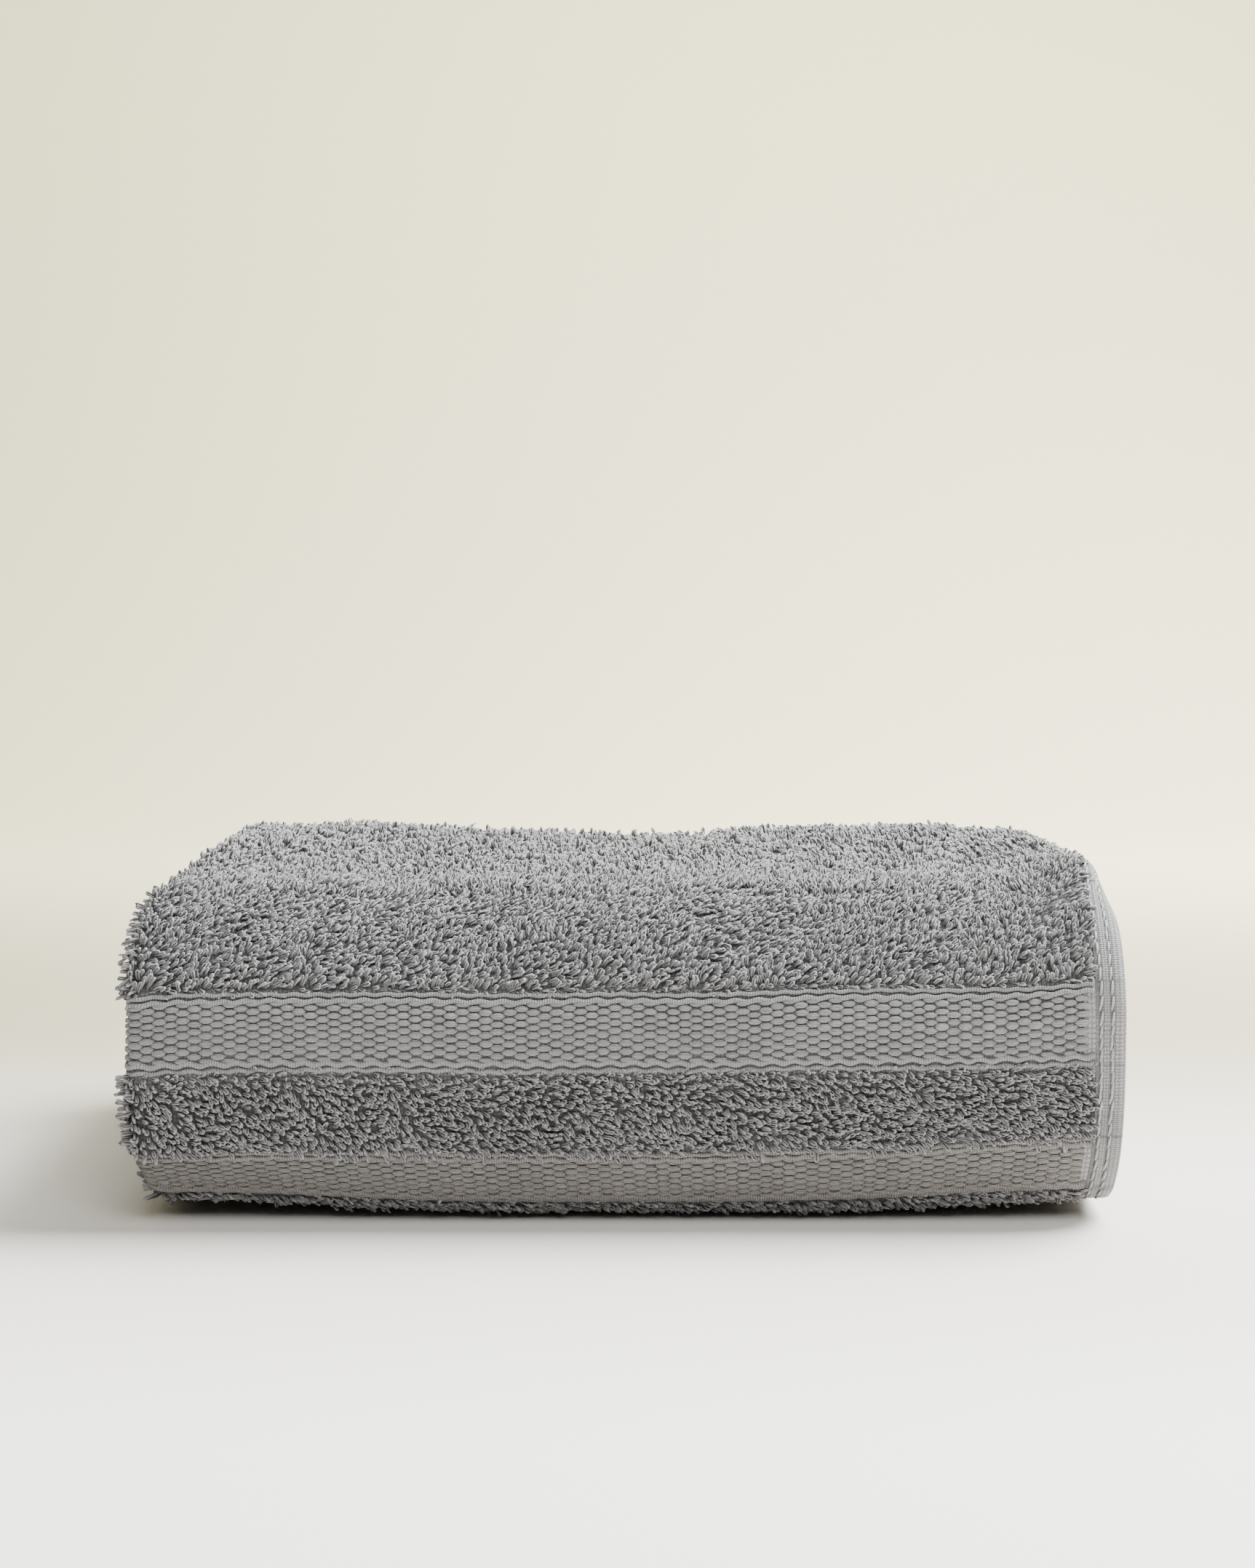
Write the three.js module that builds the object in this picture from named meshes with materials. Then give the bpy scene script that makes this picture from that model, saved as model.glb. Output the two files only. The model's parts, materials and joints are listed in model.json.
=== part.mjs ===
// A folded hand towel of cotton terry: one cloth of 500 by 1000 mm, folded in half across its width,
// laid in three runs along its length and folded once more, so that six pairs of layers lie on each other.
// The long folds of all the pairs lie in each other at the front, the folded side is on the left
// and the side hems are on the right.
// Millimetres. +X is to the right, -Y to the front and +Z up, and the origin is under the middle of
// the towel's box, on the surface that it lies on.

import * as THREE from "three";

// The cloth as it was cut, hem to hem.
const CLOTH_WIDTH = 500;
const CLOTH_LENGTH = 1000;

// Thickness of one layer: at the pile with both its faces, at a woven band and at the hems.
const PILE_LAYER = 5.8;
const BAND_LAYER = 2.8;
const SIDE_HEM_LAYER = 2.4;
const END_HEM_LAYER = 3;

// Widths of the hems, and how long the pile's step down to a hem or a band is.
const SIDE_HEM = 7.7;
const END_HEM = 15;
const STEP = 1.2;

// Woven bands across the cloth, measured from each end hem's edge.
const bands = [
  { name: "outer band", start: 163, width: 13.5 },
  { name: "inner band", start: 195.9, width: 18.3 },
];

// Air between the two layers of a pair, and between a pair and the next.
const PAIR_GAP = 1.2;
const STACK_GAP = 1.4;
const PAIR = 2 * PILE_LAYER + PAIR_GAP;
const PITCH = PAIR + STACK_GAP;
const LAYER_OFFSET = (PILE_LAYER + PAIR_GAP) / 2;

// The turns, in the order in which the cloth runs through them. Levels count the pairs from below.
// inset is how far a turn's outside lies behind the towel's front, or before its back. A turn leaves
// one level by its first corner, runs upright and joins the next level by its second corner, and each
// corner has its own depth and height. full is 0 for a straight corner and 0.55 for an ellipse.
const turns = [
  {
    name: "outer front fold",
    side: "front",
    from: 0,
    to: 5,
    inset: 0,
    first: { depth: 12.4, height: 20, full: 0.5 },
    second: { depth: 40, height: 26, full: 0.5 },
  },
  {
    name: "upper back fold",
    side: "back",
    from: 5,
    to: 4,
    inset: 0,
    first: { depth: PITCH / 2, height: PITCH / 2, full: 0.55 },
    second: { depth: PITCH / 2, height: PITCH / 2, full: 0.55 },
  },
  {
    name: "middle front fold",
    side: "front",
    from: 4,
    to: 1,
    inset: PITCH,
    first: { depth: 21, height: 17, full: 0.52 },
    second: { depth: 12, height: 13, full: 0.5 },
  },
  {
    name: "lower back fold",
    side: "back",
    from: 1,
    to: 2,
    inset: 3.5,
    first: { depth: PITCH / 2, height: PITCH / 2, full: 0.55 },
    second: { depth: PITCH / 2, height: PITCH / 2, full: 0.55 },
  },
  {
    name: "inner front fold",
    side: "front",
    from: 2,
    to: 3,
    inset: 2 * PITCH + 2,
    first: { depth: PITCH / 2, height: PITCH / 2, full: 0.55 },
    second: { depth: PITCH / 2, height: PITCH / 2, full: 0.55 },
  },
];

// How far the end hems' edges lie before the towel's back: the lowest run's and the last run's.
const FIRST_END_INSET = 2.5;
const LAST_END_INSET = 7;

// How far the cloth's sides lie inside the towel's full width. fold counts along the cloth: 0 at the
// first end hem, a half where the first run ends, 1 where the first turn ends, and so on to the last
// end hem. left is the folded side, and outer and inner are the hems of the pair's two layers.
const sides = [
  { fold: 0, left: 5, outer: 1.5, inner: 2.5 },
  { fold: 0.5, left: 5, outer: 0.6, inner: 2.4 },
  { fold: 0.58, left: 1.2, outer: 0, inner: 2 },
  { fold: 0.65, left: 0, outer: 0, inner: 2.2 },
  { fold: 0.9, left: 0, outer: 0, inner: 2.2 },
  { fold: 1, left: 0.8, outer: -0.6, inner: 1.8 },
  { fold: 1.5, left: 6.5, outer: -2, inner: 1.2 },
  { fold: 2, left: 5.5, outer: 2.6, inner: 1.4 },
  { fold: 2.5, left: 2.5, outer: 2.2, inner: 3.4 },
  { fold: 3, left: 2.5, outer: 2.2, inner: 3.2 },
  { fold: 3.5, left: 3.5, outer: 1.2, inner: 2.6 },
  { fold: 4, left: 4.5, outer: 3, inner: 1.6 },
  { fold: 4.5, left: 3, outer: 2.4, inner: 3.6 },
  { fold: 5, left: 2, outer: 3, inner: 1.8 },
  { fold: 5.5, left: 4, outer: 1.4, inner: 3 },
];

// Soft rises and hollows of the top, which fade out towards the surface that the towel lies on.
// back is measured from the towel's middle, as x is.
const rises = [
  { name: "left end", x: -100, back: 62, rise: 2.8, reach: 40 },
  { name: "middle hollow", x: -4, back: 68, rise: -1.6, reach: 34 },
  { name: "right end", x: 78, back: 66, rise: 2.2, reach: 30 },
  { name: "right hollow", x: 108, back: 70, rise: -2.2, reach: 10 },
  { name: "right hem", x: 124, back: 62, rise: 3.2, reach: 11 },
  { name: "front shoulder", x: -45, back: -45, rise: -0.9, reach: 34 },
];

// How finely the shape is drawn.
const RUN_STEP = 42;
const TURN_STEP = 6.2;
const CORNER_STEPS = 4;
const WIDTH_STEPS = 8;
const SIDE_ARC_STEPS = 6;
const INNER_ARC_STEPS = 2;
const LEAST_STEP = 1.1;

const levelHeight = (level) => PAIR / 2 + level * PITCH;
const STACK_HEIGHT = levelHeight(5) + PAIR / 2;

// The middle line of the pair, from end hem to end hem, in a plane whose x is the towel's depth from
// its front and whose y is its height. marks says which value of the sides table's fold is reached
// after how many of the line's curves.
function foldLine(depth) {
  const line = new THREE.Path();
  const marks = [{ fold: 0, curves: 0 }];
  const mark = () => marks.push({ fold: marks.length / 2, curves: line.curves.length });
  line.moveTo(depth - FIRST_END_INSET, levelHeight(turns[0].from));
  for (const { side, from, to, inset, first, second } of turns) {
    const inward = side === "front" ? 1 : -1;
    const outermost = side === "front" ? inset : depth - inset;
    const reach = outermost + (inward * PAIR) / 2;
    const up = Math.sign(to - from);
    const start = levelHeight(from);
    const end = levelHeight(to);
    const leave = start + up * first.height;
    const join = end - up * second.height;
    line.lineTo(reach + inward * first.depth, start);
    mark();
    line.bezierCurveTo(
      reach + inward * first.depth * (1 - first.full),
      start,
      reach,
      start + up * first.height * (1 - first.full),
      reach,
      leave,
    );
    if (Math.abs(join - leave) > LEAST_STEP) line.lineTo(reach, join);
    line.bezierCurveTo(
      reach,
      end - up * second.height * (1 - second.full),
      reach + inward * second.depth * (1 - second.full),
      end,
      reach + inward * second.depth,
      end,
    );
    mark();
  }
  line.lineTo(depth - LAST_END_INSET, levelHeight(turns.at(-1).to));
  mark();
  return { line, marks };
}

// Each of the six runs takes its share of the cloth's length.
const TRIAL_DEPTH = 180;
const spare = CLOTH_LENGTH - foldLine(TRIAL_DEPTH).line.getLength();
const depth = TRIAL_DEPTH + spare / (turns.length + 1);
const { line, marks } = foldLine(depth);
const length = line.getLength();
for (const mark of marks) {
  mark.along = line.curves.slice(0, mark.curves).reduce((sum, curve) => sum + curve.getLength(), 0);
}

// The thin stretches of the cloth along its length: both end hems, and the bands from either end.
const thin = [{ start: 0, end: END_HEM, layer: END_HEM_LAYER }];
for (const { start, width } of bands) thin.push({ start, end: start + width, layer: BAND_LAYER });
for (const { start, end, layer } of [...thin]) thin.push({ start: length - end, end: length - start, layer });

function layerAt(along) {
  let layer = PILE_LAYER;
  for (const stretch of thin) {
    const outside = Math.max(stretch.start - along, along - stretch.end, 0);
    const share = Math.min(outside / STEP, 1);
    layer = Math.min(layer, stretch.layer + share * (PILE_LAYER - stretch.layer));
  }
  return layer;
}

// The places along the middle line at which the section is drawn. A thin stretch has one at both ends
// of both its steps, and others that lie too near those are left out.
function stations() {
  const places = thin
    .flatMap(({ start, end }) => [start - STEP, start, end, end + STEP])
    .filter((along) => along > 0 && along < length);
  places.push(0, length);
  const fixed = [...places];
  let reached = 0;
  for (const curve of line.curves) {
    const span = curve.getLength();
    const bent = Math.max(CORNER_STEPS, Math.round(span / TURN_STEP));
    const steps = curve.isLineCurve ? Math.ceil(span / RUN_STEP) : bent;
    for (let i = 1; i <= steps; i++) {
      const along = reached + (span * i) / steps;
      if (fixed.every((place) => Math.abs(place - along) > LEAST_STEP)) places.push(along);
    }
    reached += span;
  }
  return places.sort((a, b) => a - b);
}

// A value of a table, straight between its rows.
function between(rows, key, at, column) {
  const next = rows.findIndex((row) => row[key] >= at - 1e-9);
  if (next < 0) return rows.at(-1)[column];
  if (next === 0) return rows[0][column];
  const share = (at - rows[next - 1][key]) / (rows[next][key] - rows[next - 1][key]);
  return rows[next - 1][column] + share * (rows[next][column] - rows[next - 1][column]);
}

// Half of the folded width that the cut width gives, with the fold's outside as its left end.
const OUTER_RADIUS = LAYER_OFFSET + PILE_LAYER / 2;
const FOLDED_WIDTH = (CLOTH_WIDTH - Math.PI * LAYER_OFFSET) / 2 + OUTER_RADIUS;
const LEFT = -FOLDED_WIDTH / 2;
const RIGHT = FOLDED_WIDTH / 2;

// The pair's section across the cloth, as [x, height over the pair's middle, hem] in a closed loop:
// the outer layer's outside, the folded side, the inner layer's outside, its inside, the folded
// side's inside and the outer layer's inside. hem is "outer" or "inner", the layer that it is on.
function section(layer) {
  const hem = Math.min(layer, SIDE_HEM_LAYER);
  const turnX = LEFT + OUTER_RADIUS;
  const pileEnd = RIGHT - SIDE_HEM - STEP;
  const across = [];
  for (let i = 0; i <= WIDTH_STEPS; i++) {
    across.push({ x: turnX + ((pileEnd - turnX) * i) / WIDTH_STEPS, half: layer / 2 });
  }
  across.push({ x: RIGHT - SIDE_HEM, half: hem / 2 }, { x: RIGHT, half: hem / 2 });
  const back = [...across].reverse();
  const arc = (radius, steps, from, to) =>
    Array.from({ length: steps - 1 }, (_, i) => {
      const angle = from + ((to - from) * (i + 1)) / steps;
      return [turnX - radius * Math.cos(angle), radius * Math.sin(angle), "outer"];
    });
  return [
    ...back.map(({ x, half }) => [x, LAYER_OFFSET + half, "outer"]),
    ...arc(LAYER_OFFSET + layer / 2, SIDE_ARC_STEPS, Math.PI / 2, -Math.PI / 2),
    ...across.map(({ x, half }) => [x, -LAYER_OFFSET - half, "inner"]),
    ...back.map(({ x, half }) => [x, -LAYER_OFFSET + half, "inner"]),
    ...arc(LAYER_OFFSET - layer / 2, INNER_ARC_STEPS, -Math.PI / 2, Math.PI / 2),
    ...across.map(({ x, half }) => [x, LAYER_OFFSET - half, "outer"]),
  ];
}

// Moves a point for the uneven sides and for the top's rises and hollows.
function settle(x, y, z, fold, hem) {
  const leftShare = (RIGHT - x) / FOLDED_WIDTH;
  const rightShare = 1 - leftShare;
  const moved = x + leftShare * between(sides, "fold", fold, "left") - rightShare * between(sides, "fold", fold, hem);
  let rise = 0;
  for (const bump of rises) {
    const away = Math.hypot(x - bump.x, y - depth / 2 - bump.back) / bump.reach;
    rise += bump.rise * Math.exp((-away * away) / 2);
  }
  return [moved, y - depth / 2, z * (1 + rise / STACK_HEIGHT)];
}

function towelGeometry() {
  const positions = [];
  const places = stations();
  let ring;
  for (const along of places) {
    const fold = between(marks, "along", along, "fold");
    const point = line.getPoint(along / length);
    const tangent = line.getTangent(along / length);
    ring = section(layerAt(along));
    for (const [x, offset, hem] of ring) {
      positions.push(...settle(x, point.x - offset * tangent.y, point.y + offset * tangent.x, fold, hem));
    }
  }
  const size = ring.length;
  const faces = [];
  for (let i = 0; i + 1 < places.length; i++) {
    for (let j = 0; j < size; j++) {
      const a = i * size + j;
      const b = i * size + ((j + 1) % size);
      faces.push(a, a + size, b, b, a + size, b + size);
    }
  }
  const cap = (row, turned) => {
    const outline = section(layerAt(places[row])).map(([x, offset]) => new THREE.Vector2(x, offset));
    const inside = THREE.ShapeUtils.isClockWise(outline);
    for (const [a, b, c] of THREE.ShapeUtils.triangulateShape(outline, [])) {
      const start = row * size;
      faces.push(start + a, start + (turned === inside ? b : c), start + (turned === inside ? c : b));
    }
  };
  cap(0, false);
  cap(places.length - 1, true);
  const geometry = new THREE.BufferGeometry();
  geometry.setAttribute("position", new THREE.Float32BufferAttribute(positions, 3));
  geometry.setIndex(faces);
  geometry.computeBoundingBox();
  const { min, max } = geometry.boundingBox;
  geometry.translate(-(min.x + max.x) / 2, -(min.y + max.y) / 2, -min.z);
  geometry.computeVertexNormals();
  return geometry;
}

const terry = new THREE.MeshStandardMaterial({ color: 0x8f8f91, roughness: 0.95, metalness: 0 });

const towel = new THREE.Mesh(towelGeometry(), terry);
towel.name = "towel";

const group = new THREE.Group();
group.add(towel);

export default group;
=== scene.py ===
import json
import math
from collections import namedtuple

import bpy
import numpy as np
from bpy.props import FloatProperty, FloatVectorProperty, PointerProperty
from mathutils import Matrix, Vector

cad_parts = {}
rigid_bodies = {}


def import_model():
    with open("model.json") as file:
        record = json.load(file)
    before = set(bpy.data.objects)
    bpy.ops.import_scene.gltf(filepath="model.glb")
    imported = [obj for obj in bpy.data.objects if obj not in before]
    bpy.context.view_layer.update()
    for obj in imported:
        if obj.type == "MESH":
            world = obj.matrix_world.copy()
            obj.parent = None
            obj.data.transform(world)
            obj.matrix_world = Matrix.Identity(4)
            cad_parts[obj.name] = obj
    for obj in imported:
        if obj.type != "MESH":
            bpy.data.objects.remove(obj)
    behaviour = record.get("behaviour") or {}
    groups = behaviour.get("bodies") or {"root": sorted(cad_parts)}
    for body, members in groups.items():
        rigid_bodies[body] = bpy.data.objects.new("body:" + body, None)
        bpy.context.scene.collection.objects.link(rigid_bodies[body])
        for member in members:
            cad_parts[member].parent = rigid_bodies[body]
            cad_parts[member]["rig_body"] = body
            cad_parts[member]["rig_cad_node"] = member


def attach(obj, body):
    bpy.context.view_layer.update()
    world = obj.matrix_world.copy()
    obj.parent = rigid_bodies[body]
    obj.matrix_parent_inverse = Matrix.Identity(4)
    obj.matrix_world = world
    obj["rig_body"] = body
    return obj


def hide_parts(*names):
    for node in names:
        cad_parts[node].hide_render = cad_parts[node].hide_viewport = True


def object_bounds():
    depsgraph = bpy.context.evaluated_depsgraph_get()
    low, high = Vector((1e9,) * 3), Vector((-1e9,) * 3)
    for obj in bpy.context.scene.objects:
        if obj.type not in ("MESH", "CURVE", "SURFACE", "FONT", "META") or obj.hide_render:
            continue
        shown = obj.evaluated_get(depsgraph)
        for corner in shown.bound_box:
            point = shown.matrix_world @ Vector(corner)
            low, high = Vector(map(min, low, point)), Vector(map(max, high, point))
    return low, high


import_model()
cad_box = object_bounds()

bl_info = {
    "name": "Folded Terry Hand Towel",
    "version": (1, 0, 0),
    "blender": (4, 5, 0),
    "location": "View3D > Sidebar > Towel",
    "description": "A folded hand towel of looped cotton with woven bands, hems and a plain stage",
    "category": "Add Mesh",
}

# Lengths are metres, and the tables give millimetres, which MM turns into metres.
# The towel lies as its solid does: +X is to the side hems, -Y to the front and +Z up.
# A place on the cloth is told by its distance along the cloth from the first end hem, its distance
# across from the outer layer's side hem, and how far it rises over the cloth's middle, outwards.
MM = 0.001

# Seeds of the random draws: the first patch's, which each next one raises by 1, the bands' and the
# stitches'.
PILE_SEED = 100
BAND_SEED = 40
STITCH_SEED = 9

# The cloth as it was cut, and the thickness of one layer with the loops of both its faces.
CLOTH_WIDTH = 500 * MM
CLOTH_LENGTH = 1000 * MM
PILE_LAYER = 5.8 * MM

# Half the thickness of the bare cloth: under the loops, at a band, and inside the hems.
GROUND_HALF = 0.75 * MM
BAND_HALF = 0.7 * MM
SIDE_HEM_HALF = 0.4 * MM
END_HEM_HALF = 0.8 * MM

# How far the bare cloth ends inside the hems' edges.
GROUND_INSET = 1 * MM

SIDE_HEM = 7.7 * MM
END_HEM = 15 * MM

# Where the bands' ovals start, from the side hem's edge, and how far the bare cloth among them has the band's
# colour; the rest is painted shade in the gaps between the ovals.
OVALS_START = 9.9 * MM
SHADE_AMONG_OVALS = 0.25

# Woven bands, by where their lower and upper edges lie along the cloth, and a painted shade on their colour:
# the lower band, which turns under towards the floor, is painted darker and warmer.
Band = namedtuple("Band", "name start end shade")
BANDS = (
    Band("lower", 163 * MM, 176.5 * MM, (0.84, 0.8, 0.765)),
    Band("upper", 195.9 * MM, 214.2 * MM, (1.0, 1.0, 1.0)),
)

# Air between the two layers of a pair, and between a pair and the next.
PAIR_GAP = 1.2 * MM
STACK_GAP = 1.4 * MM
PAIR = 2 * PILE_LAYER + PAIR_GAP
PITCH = PAIR + STACK_GAP
LAYER_OFFSET = (PILE_LAYER + PAIR_GAP) / 2

# The turns of the fold. A turn leaves the run at one level by its first corner, runs upright and
# joins another level by its second corner. A corner has a depth, a height and a fullness.
Turn = namedtuple("Turn", "side start end inset depth1 height1 full1 depth2 height2 full2")
HALF = PITCH / MM / 2
TURNS = (
    Turn("front", 0, 5, 0, 12.4, 20, 0.5, 40, 26, 0.5),
    Turn("back", 5, 4, 0, HALF, HALF, 0.55, HALF, HALF, 0.55),
    Turn("front", 4, 1, PITCH / MM, 21, 17, 0.52, 12, 13, 0.5),
    Turn("back", 1, 2, 3.5, HALF, HALF, 0.55, HALF, HALF, 0.55),
    Turn("front", 2, 3, 2 * PITCH / MM + 2, HALF, HALF, 0.55, HALF, HALF, 0.55),
)
FIRST_END_INSET = 2.5 * MM
LAST_END_INSET = 7 * MM
TRIAL_DEPTH = 180 * MM

# How far the cloth's sides lie inside the full width. fold is 0 at the first end hem, a half where
# the first run ends, 1 where the first turn ends, and so on. left is the folded side, and outer and
# inner are the hems of the two layers.
SIDES = (
    # fold, left, outer, inner
    (0, 5, 1.5, 2.5),
    (0.5, 5, 0.6, 2.4),
    (0.58, 1.8, -0.4, 2.4),
    (0.65, 0.4, -0.9, 2.6),
    (0.9, 0.6, -0.9, 2.6),
    (1, 3.2, -3.2, 3.2),
    (1.5, 7.0, -3.6, 3.6),
    (2, 5.5, 1, 2.4),
    (2.5, 2.5, 2.2, 3.4),
    (3, 2.5, 2.2, 3.2),
    (3.5, 3.5, 1.2, 2.6),
    (4, 4.5, 3, 1.6),
    (4.5, 3, 2.4, 3.6),
    (5, 2, 3, 1.8),
    (5.5, 4, 1.4, 3),
)

# Soft rises and hollows of the top, by where they lie from the towel's middle.
RISES = (
    # x, back, rise, reach across, reach back
    (-100, 62, 3.2, 40, 40),
    (-6, 68, -0.6, 26, 34),
    (76, 66, 2.6, 32, 30),
    (106, 70, -0.8, 9, 12),
    (122, -8, 5.6, 11, 46),
    (124, -50, 6.2, 9, 16),
    (-45, -45, -0.9, 34, 34),
)

# How far the ends of the front's lowest part are lifted off: from one place across to another, and
# at its full height and gone by given heights.
Lift = namedtuple("Lift", "none full amount full_height gone_height")
LIFTS = (
    Lift(-30, -122, 3.2, 2, 24),
    Lift(40, 124, 2.6, 20, 44),
)
LIFTED_BACK = (-45 * MM, -70 * MM)

# How far the pattern of the front lies above its even place, from the left end to the right, and
# where that drift fades in and out along the cloth.
DRIFT = (
    # x, lift
    (-126, -1.3),
    (-105, -0.6),
    (-85, 0.0),
    (-46, -0.1),
    (-12, -0.2),
    (10, -0.3),
    (54, 0.4),
    (94, 0.8),
    (126, 0.8),
)
DRIFT_SPAN = (118 * MM, 146 * MM, 236 * MM, 300 * MM)

# The upper layer's side hem rolls down over the right side of the top: the width that rolls, how far
# it turns in radians, and where along the cloth it starts and stops.
ROLL_WIDTH = 12 * MM
ROLL_TURN = 1.35
ROLL_SPAN = (220 * MM, 252 * MM, 370 * MM, 390 * MM)

# Slow bends of the whole stack, which grow with the height: their length over the towel and how far
# they move it. place() sets them at different slants, so that they look uneven.
WANDER_LENGTH = 96 * MM
WANDER = 0.45 * MM

CURVE_POINTS = 240
TINY = 0.05 * MM


def level_height(level):
    """Height of a pair's middle over the surface that the towel lies on."""
    return PAIR / 2 + level * PITCH


STACK_HEIGHT = level_height(5) + PAIR / 2


def cubic(a, b, c, d):
    """Points and unit directions of the cubic curve from a to d with handles b and c."""
    t = np.linspace(0, 1, CURVE_POINTS)[:, None]
    a, b, c, d = (np.array(p, float) for p in (a, b, c, d))
    point = (1 - t) ** 3 * a + 3 * (1 - t) ** 2 * t * b + 3 * (1 - t) * t**2 * c + t**3 * d
    way = (1 - t) ** 2 * (b - a) + 2 * (1 - t) * t * (c - b) + t**2 * (d - c)
    return point, way / np.linalg.norm(way, axis=1)[:, None]


def straight(a, b):
    """The line from a to b, as a cubic curve with its handles a third of the way in."""
    a, b = np.array(a, float), np.array(b, float)
    return cubic(a, a + (b - a) / 3, b - (b - a) / 3, b)


def fold_line(depth):
    """The pair's middle line from end hem to end hem, as (depth behind the front, height).

    Straight runs are joined by turns of two cubic corners. Returns the points, the directions, the
    distance along at each point and at each half fold, and the ends of the line's pieces.
    """
    here = (depth - FIRST_END_INSET, level_height(0))
    pieces, folds = [], [0]
    for turn in TURNS:
        inward = 1 if turn.side == "front" else -1
        outermost = turn.inset * MM if turn.side == "front" else depth - turn.inset * MM
        reach = outermost + inward * PAIR / 2
        up = np.sign(turn.end - turn.start)
        low, high = level_height(turn.start), level_height(turn.end)
        leave = low + up * turn.height1 * MM
        join = high - up * turn.height2 * MM
        first = reach + inward * turn.depth1 * MM
        last = reach + inward * turn.depth2 * MM
        handle1 = ((first - reach) * (1 - turn.full1), turn.height1 * MM * (1 - turn.full1))
        handle2 = ((last - reach) * (1 - turn.full2), turn.height2 * MM * (1 - turn.full2))
        pieces.append(straight(here, (first, low)))
        folds.append(len(pieces))
        pieces.append(
            cubic((first, low), (reach + handle1[0], low), (reach, low + up * handle1[1]), (reach, leave))
        )
        if abs(join - leave) > TINY:
            pieces.append(straight((reach, leave), (reach, join)))
        pieces.append(
            cubic((reach, join), (reach, high - up * handle2[1]), (reach + handle2[0], high), (last, high))
        )
        folds.append(len(pieces))
        here = (last, high)
    pieces.append(straight(here, (depth - LAST_END_INSET, level_height(TURNS[-1].end))))
    folds.append(len(pieces))
    point = np.concatenate([p for p, _ in pieces])
    way = np.concatenate([w for _, w in pieces])
    along = np.concatenate([[0], np.cumsum(np.linalg.norm(np.diff(point, axis=0), axis=1))])
    ends = np.concatenate([[0], along[CURVE_POINTS - 1 :: CURVE_POINTS]])
    return point, way, along, ends[folds], ends


def cloth_depth():
    """The towel's depth, for which the six runs and the turns use up the cloth's whole length."""
    spare = CLOTH_LENGTH - fold_line(TRIAL_DEPTH)[2][-1]
    return TRIAL_DEPTH + spare / (len(TURNS) + 1)


DEPTH = cloth_depth()
LINE, WAY, ALONG, FOLDS, PIECE_ENDS = fold_line(DEPTH)
LENGTH = ALONG[-1]

# Half of the folded width that the cut width gives, with the fold's outside as its left end.
OUTER_RADIUS = LAYER_OFFSET + PILE_LAYER / 2
LAYER_WIDTH = (CLOTH_WIDTH - math.pi * LAYER_OFFSET) / 2
FOLDED_WIDTH = LAYER_WIDTH + OUTER_RADIUS
LEFT = -FOLDED_WIDTH / 2
RIGHT = FOLDED_WIDTH / 2
TURN_X = LEFT + OUTER_RADIUS
SIDE_FOLD = LAYER_WIDTH + math.pi * LAYER_OFFSET / 2


def eased(x, rows):
    """Values of a two-column table at x, along a curve that is level at each row."""
    given, value = np.array(rows, float).T
    i = np.clip(np.searchsorted(given, x) - 1, 0, len(given) - 2)
    t = np.clip((x - given[i]) / (given[i + 1] - given[i]), 0, 1)
    return value[i] + (value[i + 1] - value[i]) * t * t * (3 - 2 * t)


def ramp(x, start, end):
    """A smooth rise from 0 at start to 1 at end, level at both."""
    t = np.clip((x - start) / (end - start), 0, 1)
    return t * t * (3 - 2 * t)


def window(along, span):
    """1 between the middle two places of a span along the cloth, easing to 0 at its outer two."""
    return ramp(along, span[0], span[1]) * ramp(along, span[3], span[2])


def drift(along, across):
    """How far the cloth's pattern is shifted along the cloth, over the front's outer layer."""
    x = RIGHT - np.clip(across, 0, FOLDED_WIDTH)
    return eased(x / MM, DRIFT) * MM * window(along, DRIFT_SPAN)


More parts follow.
